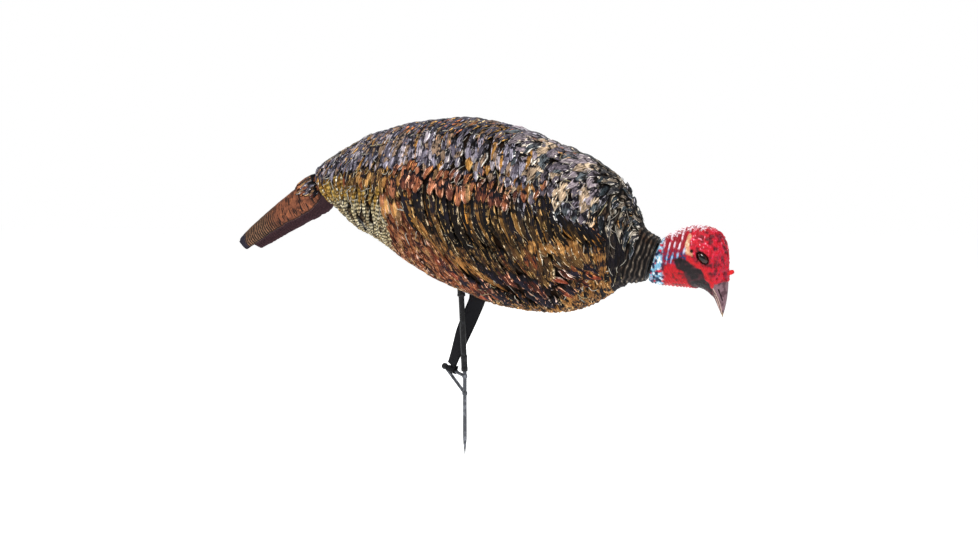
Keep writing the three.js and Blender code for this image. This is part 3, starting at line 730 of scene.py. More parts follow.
class Coat:
    """One piece made of many feather strips that lie along a surface."""

    def __init__(self, name, side, across=4, along=8, surface=skin):
        self.name = name
        self.side = side
        self.template = self.make_template(across, along)
        self.batches = []
        self.surface = surface
        self.rng = np.random.default_rng(SEED + len(name) * 7 + side)

    def make_template(self, across, along):
        """The plate that every feather of the coat is bent from."""
        shape = thin_plate(across, along, 0.25)
        mesh = bpy.data.meshes.new(self.name + "_template")
        shape.to_mesh(mesh)
        shape.free()
        return mesh

    def lay(self, roots, tints, **shape):
        """Adds feathers. roots holds share and degrees; each other value is one number or one each."""
        count = len(roots)
        values = dict(heading=90.0, length=30.0, width=9.0, turn=0.0, camber=0.3, lift=-1.0,
                      tip_lift=2.6, bars=0.0, point=0.3, thick=0.7, ruffle=0.5)
        values.update(shape)
        batch = {"roots": np.asarray(roots, float)}
        for key, value in values.items():
            batch[key] = np.broadcast_to(np.asarray(value, float), (count,)).copy()
        for key, colour in zip(TINTS, tints):
            batch[key] = np.broadcast_to(np.asarray(colour, float), (count, 3)).copy()
        self.batches.append(batch)

    def row(self, path, count, tints, spread=0.3, **shape):
        """A row of strips whose roots lie along a path of (x, degrees) points.

        A pair of numbers runs from the path's first end to its last; loose=(low, high) scales
        each strip's length at random, and every width varies at random by a fixed share.
        """
        rng = self.rng
        share = (np.arange(count) + 0.5 + rng.uniform(-spread, spread, count)) / count
        xs, degrees = np.array(path, float).T
        knots = np.linspace(0, 1, len(path))
        roots = np.stack([skin.share(np.interp(share, knots, xs) * MM),
                          np.interp(share, knots, degrees) + rng.normal(0, ROOT_SCATTER, count)], 1)
        low, high = shape.pop("loose", (0.85, 1.15))
        values = {}
        for key, value in shape.items():
            run = np.interp(share, np.linspace(0, 1, len(value)), value) if np.ndim(value) else value
            values[key] = np.broadcast_to(run, (count,)).astype(float)
        values["heading"] = values["heading"] + rng.normal(0, HEADING_SCATTER, count)
        values["length"] = values["length"] * rng.uniform(low, high, count)
        values["width"] = values["width"] * rng.uniform(0.85, 1.15, count)
        self.lay(roots, [choice(rng, count) for choice in tints], **values)

    def shape_batch(self, batch, plate):
        """Every vertex of every feather in a batch."""
        rows = np.unique(np.round(plate[:, 1], 6))
        step = batch["length"] * MM / (len(rows) - 1)
        share, degrees = batch["roots"][:, 0].copy(), batch["roots"][:, 1].copy()
        centres, normals = [], []
        for v in rows:
            centres.append(self.surface.point(share, degrees))
            normals.append(self.surface.normal(share, degrees))
            heading = batch["heading"] + batch["turn"] * (v + 0.5)
            share, degrees = self.surface.walk(share, degrees, heading, step)
        centres, normals = np.stack(centres, 1), np.stack(normals, 1)
        forward = unit(np.gradient(centres, axis=1))
        normals = unit(normals - forward * np.sum(normals * forward, -1, keepdims=True))
        sides = np.cross(forward, normals)
        row = np.searchsorted(rows, np.round(plate[:, 1], 6))
        u, v = plate[:, 0] * 2, plate[:, 1] + 0.5
        buried = (np.abs(plate[:, 2]) > 0.01).astype(float)

        def each(key):
            return batch[key][:, None]

        narrow = 0.7 + 0.3 * smooth(0, 0.3, v)
        round_tip = np.sqrt(np.clip(1 - (np.clip(v - 0.72, 0, 1) / 0.29) ** 2, 0, 1))
        sharp_tip = 1 - smooth(0.45, 1.02, v)
        tip = blend(round_tip, sharp_tip, each("point"))
        half = each("width") * MM / 2 * narrow * np.maximum(tip, 0.08)
        height = blend(each("lift"), each("tip_lift"), smooth(0, 1, v) ** 0.8)
        spine = centres[:, row] + normals[:, row] * (height * MM)[..., None]
        bow = each("camber") * half * 2 * (1 - u**2)
        wave = grain(spine, 8 * MM) * each("ruffle") * MM * (0.4 + np.abs(u))
        sway = grain(spine + 3.3, 13 * MM) * each("ruffle") * MM * 1.4
        rise = bow + wave - buried * each("thick") * MM
        found = spine + sides[:, row] * (half * u + sway)[..., None] + normals[:, row] * rise[..., None]
        if self.side == LEFT:
            found[..., 1] *= -1
        return found

    def build(self, slot="body_skin", body="decoy"):
        """Joins the feathers into one object."""
        plate = get_points(self.template)
        count = sum(len(b["roots"]) for b in self.batches)
        shape = bmesh.new()
        for _ in range(count):
            shape.from_mesh(self.template)
        piece = finished(self.name, shape)
        points, tones, marks = [], {key: [] for key in TINTS}, []
        for batch in self.batches:
            points.append(self.shape_batch(batch, plate).reshape(-1, 3))
            for key, rows in tones.items():
                rows.append(np.repeat(batch[key], len(plate), axis=0))
            seeds = self.rng.random(len(batch["roots"]))
            three = np.stack([batch["bars"], batch["length"], seeds], 1)
            marks.append(np.repeat(three, len(plate), axis=0))
        mesh = piece.data
        set_points(mesh, np.concatenate(points))
        for key, rows in tones.items():
            paint_points(mesh, key, np.concatenate(rows))
        mark_points(mesh, "marks", np.concatenate(marks))
        self.face_out(mesh)
        return place(piece, FEATHER, body, slot)

    def face_out(self, mesh):
        """Turns round any feather whose faces point inwards."""
        shape = bmesh.new()
        shape.from_mesh(mesh)
        bmesh.ops.recalc_face_normals(shape, faces=shape.faces)
        shape.to_mesh(mesh)
        shape.free()
        bpy.data.meshes.remove(self.template)


def palette(*choices):
    """A picker of colours, one for each feather: choices are pairs of weight and web colour."""
    weights = np.array([c[0] for c in choices], float)
    table = np.array([tint(c[1]) for c in choices])

    def choose(rng, count):
        chosen = rng.choice(len(choices), count, p=weights / weights.sum())
        return table[chosen] * rng.uniform(0.8, 1.25, (count, 1))

    return choose


DARK = palette((5, "15151b"), (2, "1b181f"), (2, "17120f"))
LILAC = palette((4, "605a66"), (3, "423e46"), (3, "8c8694"), (3, "8c7460"), (2, "aaa0a6"), (1, "a8783c"))
LILAC_EDGE = palette((3, "e8e2ea"), (3, "b4b0bc"), (3, "dcb070"), (2, "f4eee4"), (2, "d4905e"))
SLATE = palette((3, "4a4a58"), (2, "6a6470"), (1, "8c6a4c"), (1, "74625a"))
GOLD_EDGE = palette((3, "e2ac54"), (3, "cc7c4e"), (2, "f0d6a0"), (1, "a8a2b4"))
SHOULDER = palette((4, "5c545c"), (3, "8a7e84"), (2, "b0987e"), (2, "4e5458"), (1, "c8b094"))
SHOULDER_EDGE = palette((3, "d2c0a8"), (3, "f4ecde"), (1, "c8945a"), (2, "a8a4ac"))
NAPE = palette((3, "343c40"), (3, "444244"), (2, "786c5e"), (1, "948a7c"))
RUST = palette((4, "8c5238"), (3, "a86a4c"), (3, "60362a"), (2, "8a6a48"))
RUST_EDGE = palette((3, "e8ac8a"), (2, "f2d4c2"), (2, "d8945c"))
BROWN = palette((3, "4c3420"), (3, "604628"), (2, "34281e"), (1, "6c3a22"))
OCHRE = palette((4, "96693a"), (3, "84582c"), (2, "b0824c"), (1, "6a4c30"))
OCHRE_EDGE = palette((3, "d8ae70"), (2, "e0c8a0"), (2, "a87434"))
CHARCOAL = palette((4, "121014"), (3, "1e1a1c"), (2, "2e2723"))
GOLD = palette((4, "a07a34"), (3, "866028"), (2, "c4a052"))
CREAM = palette((4, "c6b68c"), (3, "a4906a"), (2, "dcd0b0"), (1, "6a5840"))
CREAM_EDGE = palette((3, "f0e8d0"), (2, "d2c49a"))
COPPER = palette((4, "80482c"), (3, "94603e"), (3, "4c2a1e"), (2, "a0764c"))
COPPER_EDGE = palette((3, "d69c7c"), (2, "e8c0aa"), (1, "c87848"))
PURPLE = palette((4, "201b26"), (3, "15111a"), (2, "54291e"), (1, "7c3a26"))
EARTH_EDGE = palette((3, "6a6056"), (2, "8c8070"), (2, "3a342e"))
BELLY = palette((3, "84684e"), (3, "a88866"), (2, "685c66"), (2, "46382f"))


def back_coat(side):
    """Narrow draped strips from the ridge down to the wing, longer over the middle of the back."""
    coat = Coat(side_name(side, "back_feathers"), side)
    rear = ((DARK, LILAC, LILAC_EDGE), (DARK, SLATE, LILAC_EDGE))
    for k, degrees in enumerate((58, 50, 42, 34, 26, 18, 10, 2)):
        coat.row([(-242 + k % 2 * 3, degrees), (-92, degrees - 4)], 24, rear[k % 2], heading=(58, 72),
                 length=(24, 36), width=(7, 8.5), tip_lift=(1.5, 3), turn=16, point=0.75, camber=0.45)
    for degrees, length in ((60, 20), (54, 26), (47, 32), (38, 44), (27, 56)):
        coat.row([(-104, degrees), (-30, degrees), (134, degrees)], 24, (DARK, LILAC, LILAC_EDGE),
                 heading=(78, 88, 82), length=length * 1.12, width=(11.5, 14), turn=8, point=0.7, camber=0.46,
                 tip_lift=3.6, ruffle=1.1)
    for degrees in (19, 12, 5, -2):
        coat.row([(-104, degrees), (126, degrees)], 26, (DARK, SLATE, GOLD_EDGE), heading=(56, 44),
                 length=44, width=8, turn=26, point=0.7, camber=0.46, tip_lift=3.2)
    return coat.build()


def shoulder_coat(side):
    """Broad layered feathers over the shoulder, smaller towards the neck."""
    coat = Coat(side_name(side, "shoulder_feathers"), side, 6, 8)
    for k, x in enumerate((286, 277, 267, 256, 244, 232, 219, 206, 193, 180, 167, 154, 141, 128, 115)):
        low = 80 if x > 236 else (84 if x > 200 else 74)
        ridge = -3 + k % 2 * 6
        small = x > 240
        coat.row([(x, low), (x + 5, low * 0.5), (x, ridge)], 9,
                 (DARK, NAPE if small else SHOULDER, SHOULDER_EDGE), heading=(76, 52, 26),
                 length=(26, 34) if small else (36, 50), width=(11, 13) if small else (18, 25),
                 turn=18, tip_lift=4.6, ruffle=2.2, camber=0.2, loose=(0.65, 1.3), point=0.8)
    coat.row([(134, 14), (228, 9)], 9, (DARK, RUST, RUST_EDGE), heading=26, length=24, width=9,
             turn=20, tip_lift=5.4, ruffle=1.6, point=0.6)
    coat.row([(150, 62), (96, 52)], 8, (DARK, OCHRE, OCHRE_EDGE), heading=100, length=38, width=12,
             turn=0, tip_lift=5.4, point=0.7)
    return coat.build()


def rump_coat(side):
    """Gold and cream strips with dark cross bars, from the tail's root under the flank."""
    coat = Coat(side_name(side, "rump_feathers"), side)
    lattice = (CREAM, CREAM, CREAM_EDGE)
    for degrees, start in ((178, -206), (168, -212), (158, -216), (148, -218), (138, -220), (128, -222),
                           (118, -224), (109, -226), (101, -228)):
        coat.row([(start, degrees), (-128, degrees), (-106, degrees + 2)], 15, lattice, heading=(78, 94),
                 length=30, width=(7, 8.5), bars=0.8, turn=8, tip_lift=1.8, camber=0.45, point=0.5)
    for degrees in (94, 85, 76, 69):
        coat.row([(-236, degrees + 6), (-176, degrees), (-108, degrees)], 14,
                 (GOLD, GOLD, CREAM_EDGE), heading=(76, 92), length=24, width=10, bars=0.6, turn=8,
                 tip_lift=2.4, ruffle=1.4, point=0.5)
    for degrees in (176, 167, 158, 150):
        coat.row([(-112, degrees), (-10, degrees + 4)], 13, (DARK, palette((2, "6c5a44"), (2, "2a2426")),
                 CREAM_EDGE), heading=70, length=30, width=8, bars=0.8, turn=-10, tip_lift=2.6, point=0.6)
    return coat.build()


def thigh_coat(side):
    """Short copper strokes over the thigh, running forwards and down."""
    coat = Coat(side_name(side, "thigh_feathers"), side)
    for k in range(11):
        share = k / 10
        start = (blend(-124, -104, share), blend(152, 88, share))
        finish = (blend(44, -34, share), blend(160, 100, share))
        coat.row([start, finish], 18, (palette((2, "4a2018"), (2, "2a1614")), COPPER, COPPER_EDGE),
                 heading=(112, 130), length=32, width=9, turn=12, tip_lift=3, ruffle=1.6, point=0.8,
                 spread=0.45)
    for path, count, tip, heading, length, width, turn, lift, ruffle, point in (
        ([(-4, 132), (28, 140), (70, 150)], 9, COPPER, 112, 36, 14, 8, 1.8, 1.2, 0.6),
        ([(-36, 122), (6, 138), (44, 152)], 10, PURPLE, 114, 40, 14, 8, 2.4, 1.4, 0.6),
        ([(-40, 132), (30, 160)], 9, COPPER, 112, 36, 11, 10, 2.6, 1.4, 0.8),
        ([(-64, 116), (-20, 132), (34, 152)], 12, COPPER, (116, 104), 34, 10, 12, 3, 1.4, 0.8),
    ):
        coat.row(path, count, (PURPLE, tip, COPPER_EDGE), heading=heading, length=length, width=width,
                 turn=turn, tip_lift=lift, ruffle=ruffle, point=point)
    coat.row([(-114, 90), (-82, 92)], 5, (RUST, OCHRE, COPPER_EDGE), heading=104, length=38, width=12,
             tip_lift=3.8, point=0.1)
    return coat.build()


def breast_coat(side):
    """Strips over the breast and along the underside."""
    coat = Coat(side_name(side, "breast_feathers"), side)
    for degrees, first, length in ((172, 30, 28), (163, 46, 32), (154, 86, 36), (144, 130, 40),
                                   (133, 166, 44), (121, 184, 46), (109, 198, 46), (97, 205, 44)):
        coat.row([(first, degrees), (250, degrees)], max(7, round((250 - first) / 8)),
                 (DARK, OCHRE, OCHRE_EDGE), heading=(106, 92), length=length, width=10.5, turn=-6,
                 tip_lift=2.8, camber=0.46, ruffle=1.1, point=0.7)
    for degrees in (84, 96, 110, 124, 138, 152, 166, 176):
        coat.row([(232, degrees), (274, degrees)], 9, (DARK, CHARCOAL, EARTH_EDGE), heading=94,
                 length=36, width=9.5, turn=-4, tip_lift=2.2, camber=0.45, ruffle=1.2, point=0.7)
    for degrees in (180, 172, 164, 156):
        coat.row([(-24, degrees), (124, degrees)], 17, (DARK, BELLY, CREAM_EDGE), heading=112,
                 length=32, width=9, turn=-14, tip_lift=2.6, ruffle=1.5, point=0.7)
    return coat.build()


def wing_coat(side):
    """The folded wing: rust plates along its top edge and long curved strips below them."""
    coat = Coat(side_name(side, "wing_feathers"), side, 4, 13)
    dusky = palette((3, "2c2218"), (3, "40301e"), (2, "1a1511"))
    ribs = palette((3, "3a2a18"), (2, "74522a"), (4, "14100e"))
    smoke = palette((3, "262020"), (2, "402f20"), (2, "1e1a1e"))
    coat.row([(40, 134), (70, 146), (176, 132), (214, 118)], 24, (DARK, PURPLE, RUST_EDGE),
             heading=(116, 126), length=38, width=12, turn=14, lift=0.5, tip_lift=4.6, ruffle=1.6, point=0.7)
    coat.row([(30, 118), (120, 126), (214, 108)], 26, (DARK, PURPLE, RUST_EDGE), heading=(112, 128),
             length=42, width=12, turn=18, lift=1.0, tip_lift=5, ruffle=1.6, point=0.7)
    coat.row([(-60, 92), (-10, 112), (60, 126)], 16, (DARK, OCHRE, OCHRE_EDGE), heading=(112, 128),
             length=(76, 50), width=10, turn=14, lift=1, tip_lift=4.6, camber=0.46, point=0.7)
    coat.row([(-24, 106), (60, 110), (150, 104)], 28, (DARK, BROWN, OCHRE_EDGE), heading=116, length=52,
             width=7, turn=16, lift=1.2, tip_lift=4.6, camber=0.46, bars=0.5, point=0.6)
    coat.row([(10, 92), (140, 92)], 24, (DARK, dusky, OCHRE_EDGE), heading=110, length=46, width=7.5,
             turn=18, lift=1.5, tip_lift=4.8, camber=0.46, bars=0.75, point=0.6)
    coat.row([(100, 112), (196, 108)], 13, (DARK, BROWN, OCHRE_EDGE), heading=112, length=30, width=11,
             turn=10, lift=1.0, tip_lift=4.8, ruffle=1.4, point=0.6)
    coat.row([(92, 101), (150, 102), (210, 100)], 17, (BROWN, BROWN, OCHRE_EDGE), heading=110, length=40,
             width=12, turn=10, lift=1.4, tip_lift=4.8, ruffle=1.4, point=0.6)
    coat.row([(126, 95), (206, 95)], 13, (OCHRE, OCHRE, CREAM_EDGE), heading=104, length=30, width=13,
             turn=10, lift=1.8, tip_lift=5, ruffle=2.2, bars=0.3, point=0.5)
    coat.row([(-78, 80), (20, 82), (70, 82)], 19, (DARK, ribs, OCHRE_EDGE), heading=(90, 86),
             length=(104, 62), width=11, turn=44, lift=1.5, tip_lift=5.6, camber=0.46, ruffle=1.1, point=0.6)
    coat.row([(44, 76), (150, 76), (222, 84)], 22, (DARK, ribs, OCHRE_EDGE), heading=(86, 96, 122),
             length=(86, 62, 40), width=11, turn=(38, 30, 4), lift=2, tip_lift=6.2, camber=0.46,
             ruffle=1.1, point=0.6)
    coat.row([(110, 70), (226, 84)], 14, (DARK, CHARCOAL, LILAC_EDGE), heading=(96, 130), length=36,
             width=10, turn=16, lift=3, tip_lift=6.4, ruffle=1.6, point=0.7)
    coat.row([(-180, 74), (-120, 74), (-60, 76)], 14, (DARK, BROWN, OCHRE_EDGE), heading=(70, 90),
             length=(26, 44), width=11, turn=20, lift=1.5, tip_lift=4.8, ruffle=1.8, point=0.6)
    coat.row([(92, 85), (180, 88)], 10, (DARK, smoke, OCHRE_EDGE), heading=104, length=40, width=11,
             turn=14, lift=1.2, tip_lift=5, ruffle=1.1, point=0.6)
    coat.row([(118, 106), (166, 110)], 7, (DARK, BROWN, OCHRE_EDGE), heading=112, length=36, width=15,
             turn=8, lift=0.8, tip_lift=4.4, ruffle=1.4, point=0.5)
    coat.row([(-150, 69), (-70, 70)], 9, (DARK, OCHRE, OCHRE_EDGE), heading=(60, 80), length=30,
             width=12, turn=24, lift=2, tip_lift=5.4, ruffle=2, point=0.5)
    coat.row([(-94, 73), (20, 72), (100, 71)], 15, (DARK, RUST, RUST_EDGE), heading=(86, 92),
             length=(38, 32), width=17, turn=10, lift=2.2, tip_lift=6.2, ruffle=2.6, point=0.4)
    coat.row([(-80, 66), (20, 65), (160, 67)], 22, (DARK, RUST, RUST_EDGE), heading=(60, 70),
             length=24, width=10, turn=24, lift=3, tip_lift=6.4, ruffle=2.2, point=0.6)
    return coat.build("wing_skin")


def stray_threads(side):
    """Loose pale strands caught in the coat."""
    coat = Coat(side_name(side, "stray_strands"), side, 1, 9)
    rng = coat.rng
    count = 280
    x = rng.uniform(-210, 282, count)
    degrees = rng.uniform(6, 150, count) * np.where(x > 60, 1, 0.8)
    roots = np.stack([skin.share(x * MM), degrees], 1)
    pale = palette((4, "d8d2c2"), (2, "b8b0a4"), (2, "c9b98e"))
    coat.lay(roots, [pale(rng, count)] * 3, heading=rng.uniform(20, 140, count),
             length=rng.uniform(10, 34, count), width=1.1, turn=rng.normal(0, 70, count),
             lift=rng.uniform(2, 5, count), tip_lift=rng.uniform(4, 7.5, count), camber=0.0,
             thick=0.5, ruffle=0.9, point=0.0)
    return coat.build()


def side_name(side, name):
    return ("right_" if side == RIGHT else "left_") + name


# ---------------------------------------------------------------- shapes drawn on the head

def line_distance(path, x, z):
    """Distance in millimetres from a line drawn in the middle plane."""
    nearest = np.full(x.shape, 1e9)
    for (ax, az), (bx, bz) in zip(path, path[1:]):
        ex, ez = bx - ax, bz - az
        t = np.clip(((x - ax) * ex + (z - az) * ez) / (ex * ex + ez * ez), 0, 1)
        nearest = np.minimum(nearest, np.hypot(x - ax - t * ex, z - az - t * ez))
    return nearest


def outline_distance(outline, x, z):
    """Distance in millimetres inside (+) or outside (-) a closed outline in the middle plane."""
    closed = outline + outline[:1]
    within = np.zeros(x.shape, bool)
    for (ax, az), (bx, bz) in zip(closed, closed[1:]):
        if az != bz:
            crossing = (az > z) != (bz > z)
            within ^= crossing & (x < ax + (z - az) / (bz - az) * (bx - ax))
    nearest = line_distance(closed, x, z)
    return np.where(within, nearest, -nearest)


EYE_LOW, EYE_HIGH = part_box("right_eye")
EYE_X = (EYE_LOW[0] + EYE_HIGH[0]) / 2 / MM
EYE_Z = (EYE_LOW[2] + EYE_HIGH[2]) / 2 / MM
EYE_TILT = 46.0
EYE_LONG = 11.0
EYE_SHORT = 6.4
EYE_DEEP = 5.6
EYE_SUNK = 6.6  # how far the eye's middle lies inside its outermost point in the frame

NAPE_PITCH = 8.6  # the distance from one fold of the nape to the next, in millimetres
GATHER_PITCH = 5.2  # the same for the folds of the wattle

# Outlines and lines of the face, in millimetres forwards and upwards from the eye's centre.
EAR = [(-21, 37), (-26.5, 22), (-25, 6), (-19, 4.5), (-14.5, 1), (-15, 8), (-19, 14), (-20, 24), (-16, 33)]
EAR_HOLE = (-16.5, 10.5)
THROAT = [(-45, -3), (-34, 1.5), (-27, -2.5), (-22.5, -8), (-13, -13), (-4, -18), (1, -25), (5, -34),
          (13.5, -48), (13, -64), (-6, -52), (-20, -46), (-24, -36), (-29, -24), (-39, -17)]
BEAK = [(12, -50), (17, -42), (26, -38), (45, -36), (45, -110), (-5, -110), (12, -64)]
MOUTH = [(13, -49), (18, -59), (22, -70), (25, -82), (26, -92)]
NOSTRIL = [(23.5, -50), (26, -58), (29, -67)]
CREST = [(-60, 30), (-39, 35), (-25, 40), (-11, 42), (3, 43), (12, 52), (-6, 62), (-60, 62)]


def head_marks(place_mm):
    """Where each point lies on the head, and how far it lies in each zone, from 0 to 1."""
    x, z = place_mm[:, 0] - EYE_X, place_mm[:, 2] - EYE_Z
    gape, bill_tip = MOUTH[0], MOUTH[-1]
    wobble = grain(place_mm, 9) * 1.6
    turn = math.radians(EYE_TILT)
    long_way = x * math.cos(turn) - z * math.sin(turn)
    short_way = x * math.sin(turn) + z * math.cos(turn)
    from_ring = x - 0.21 * (z - 25) + 61
    drift = x + grain(place_mm, 12) * 2.2, z + grain(place_mm + 30, 12) * 2.2
    return {
        "x": x,
        "z": z,
        "lumps": 1 - np.abs(grain(place_mm, 6.5)),
        "fine": 1 - np.abs(grain(place_mm + 40, 3.4)),
        "eye": np.hypot(long_way / EYE_LONG, short_way / EYE_SHORT),
        "ring": from_ring / NAPE_PITCH + grain(place_mm, 22) * 0.3 + grain(place_mm, 9) * 0.1,
        "nape": (1 - smooth(-27, -23, x)) * smooth(-14, -4, z + wobble),
        "speckle": 1 - smooth(-64.5, -59.5, x + wobble * 1.4),
        "ear": smooth(-1.0, 1.2, outline_distance(EAR, x, z) + wobble * 0.9),
        "ear_hole": 1 - smooth(1.8, 3.0, np.hypot(x - EAR_HOLE[0], z - EAR_HOLE[1])),
        "throat": smooth(-1.6, 1.4, outline_distance(THROAT, *drift) + wobble * 0.8),
        "throat_edge": outline_distance(THROAT, x, z),
        "beak": smooth(-1.0, 1.6, outline_distance(BEAK, x, z) + wobble * 0.6),
        "mouth": line_distance(MOUTH, x, z),
        "upper_bill": x >= np.interp(z, (bill_tip[1], gape[1]), (bill_tip[0], gape[0])),
        "nostril": line_distance(NOSTRIL, x, z),
        "crest": smooth(-1.5, 2.0, outline_distance(CREST, x, z) + wobble),
    }


def head_relief(place_mm, share):
    """Heights of the caruncles, folds, lids, ear, mouth line and nostril."""
    m = head_marks(place_mm)
    soft = (1 - m["beak"]) * (1 - m["throat"] * 0.7)
    lumps, fine = m["lumps"], m["fine"]
    face = smooth(-26, -18, m["x"]) * soft
    wattle = (1 - smooth(-26, -16, m["x"])) * (1 - smooth(-14, -6, m["z"])) * soft
    fold = (0.5 + 0.5 * np.sin(m["ring"] * 2 * np.pi)) ** 1.6
    gather = 0.5 + 0.5 * np.sin((m["x"] + m["z"] * 0.5) / GATHER_PITCH * 2 * np.pi + grain(place_mm, 16) * 3)
    speckle = m["speckle"] * (1 - np.abs(grain(place_mm, 3.2)))
    lid = np.exp(-(((m["eye"] - 1.28) / 0.2) ** 2))
    socket = 1 - smooth(0.85, 1.12, m["eye"])
    lower_bill = smooth(0.0, 1.0, m["mouth"]) * m["beak"] * (1 - m["upper_bill"])
    raised = (face * (lumps * 2.6 + fine * 1.7 - 2.3) + m["nape"] * (fold * 3.0 + fine * 0.8 - 1.4)
              + wattle * (gather * 1.7 + fine * 0.6 - 1.0) + speckle * 1.2
              + m["throat"] * (fine * 0.5 - 1.6) + m["ear"] * 1.8 + lid * 1.5)
    cut = (m["ear_hole"] * 3.4 + socket * 4.5 + m["beak"] * 0.8 + lower_bill * 0.7
           + (1 - smooth(0.1, 0.9, m["mouth"])) * 1.1 + (1 - smooth(0.5, 1.5, m["nostril"])) * 1.6)
    return (raised - cut) * smooth(0, 0.02, share)


def painted(ground, *layers):
    """Paint over a ground colour: each layer is a colour and how far it covers each point."""
    for colour, cover in layers:
        colour = tint(colour) if isinstance(colour, str) else colour
        ground = blend(ground, colour, cover[:, None])
    return ground


def head_paint(place_mm):
    """The head's colours: red face with painted shade in the creases and painted highlights on the crests,
    white and blue nape, dark throat, grey beak.
    """
    m = head_marks(place_mm)
    x, z = m["x"], m["z"]
    mottle = grain(place_mm, 5.0)
    speck = grain(place_mm + 70, 2.6)
    height = m["lumps"] * 0.6 + m["fine"] * 0.4
    upper = smooth(2, 16, z) * smooth(-26, -14, x)
    wattle = (1 - smooth(-24, -16, x)) * (1 - smooth(-12, -4, z))
    stripe = np.exp(-(((m["throat_edge"] + 4.0) / 3.4) ** 2)) * smooth(-34, -22, x)
    colour = painted(
        tint("b80620"),
        ("7c0418", smooth(0.0, 0.7, mottle)),
        # Dark crimson in the low places between the lumps: painted shade in the creases.
        ("3c0210", (1 - smooth(0.42, 0.72, height)) * 0.85),
        # Pink on the lumps' crests, and pale pink on the highest crests of the upper face: painted
        # highlights.
        ("dc2c5c", smooth(0.86, 0.94, height) * 0.8 * smooth(-20, 6, z)),
        ("f0bcc8", smooth(0.93, 0.98, height) * upper * 0.9),
        ("96304a", smooth(8, 30, x) * smooth(-0.2, 0.6, speck) * 0.5),
        ("b00812", wattle * 0.7),
        ("3c0610", wattle * smooth(0.1, 0.6, mottle) * 0.8),
        ("b40e18", stripe * (z > -52)),
    )
    blue = (1 - smooth(4, 18, z + mottle * 6)) * smooth(-0.1, 0.4, speck + 0.2)
    pale = painted(tint("e2ccd6"), ("7fa8cc", 1 - smooth(6, 24, z + mottle * 8)),
                   ("b8324e", smooth(0.1, 0.5, speck) * smooth(0, 20, z)))
    phase = 0.5 + 0.5 * np.sin(m["ring"] * 2 * np.pi)
    broken = smooth(-0.5, 0.0, grain(place_mm + 5, 8.0))
    # Pale lines along the nape's fold crests: partly its white skin colour, partly painted highlight.
    ridges = painted(tint("8e0a1e"), ("142c58", blue),
                     (pale, smooth(0.74, 0.95, phase + mottle * 0.3) * broken))
    crest = painted(ridges, ("e4d8de", smooth(0.0, 0.4, speck)))
    bits = painted(
        tint("6fa4c0"),
        ("dce6ec", smooth(0.1, 0.35, speck)),
        ("0e1e40", smooth(-0.05, 0.3, mottle)),
        ("c01c34", smooth(0.35, 0.6, grain(place_mm + 9, 4.0))),
    )
    throat = painted(tint("12060a"), ("3c141c", smooth(0.1, 0.6, mottle)))
    horn = painted(
        tint("745860"),
        ("4a3038", smooth(0.0, 0.5, mottle)),
        ("4a2a30", 1.0 - m["upper_bill"]),
        ("b79a90", np.exp(-(((m["mouth"] - 1.6) / 0.9) ** 2)) * m["upper_bill"]),
        ("8f7c50", 1 - smooth(-93, -84, z)),
    )
    return painted(
        colour,
        (ridges, m["nape"]),
        (crest, m["crest"] * smooth(-0.5, 0.1, mottle + 0.35)),
        (bits, m["speckle"]),
        ("c48a68", m["ear"]),
        ("dcc09c", m["ear"] * smooth(0.0, 0.4, speck)),
        ("0c0606", m["ear_hole"]),
        (throat, m["throat"]),
        (horn, m["beak"]),
        ("140808", 1 - smooth(0.2, 0.8, m["mouth"])),
        ("180c0e", 1 - smooth(0.6, 1.4, m["nostril"])),
        ("0a0505", 1 - smooth(1.02, 1.14, m["eye"])),
        ("300a10", np.exp(-(((m["eye"] - 1.12) / 0.07) ** 2)) * 0.9),
    )


def make_head():
    piece, place_mm = sleeve("head_skin", head_skin, 0.0, 1.0, 190, 160, head_relief, tip=True)
    paint_points(piece.data, "paint", head_paint(place_mm))
    place(piece, HEAD_PAINT, "head", "head_paint", "head")


def make_eye(side):
    """A glossy oval eye, tilted down towards the beak."""
    shape = bmesh.new()
    node = side_name(side, "eye")
    low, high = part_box(node)
    outer = low[1] if side == RIGHT else high[1]
    centre = Vector(((low[0] + high[0]) / 2, outer + side * EYE_SUNK * MM, (low[2] + high[2]) / 2))
    size = Matrix.Diagonal(Vector((EYE_LONG * MM, EYE_DEEP * MM, EYE_SHORT * MM, 1)))
    matrix = Matrix.Translation(centre) @ Matrix.Rotation(math.radians(EYE_TILT), 4, "Y") @ size
    bmesh.ops.create_uvsphere(shape, u_segments=48, v_segments=32, radius=1.0, matrix=matrix)
    piece = finished(node + "_glass", shape)
    points = get_points(piece.data)
    away = np.hypot(points[:, 0] - centre[0], points[:, 2] - centre[2]) / MM
    pupil, rim = 1 - smooth(4.2, 4.8, away), smooth(7.5, 10, away)
    paint_points(piece.data, "paint", painted(tint("2c100a"), ("040303", pupil), ("0a0403", rim)))
    place(piece, EYE_LACQUER, "head", "eye_gloss", node)


SNOOD_LONG = 21.0
SNOOD_RISE = 14.0


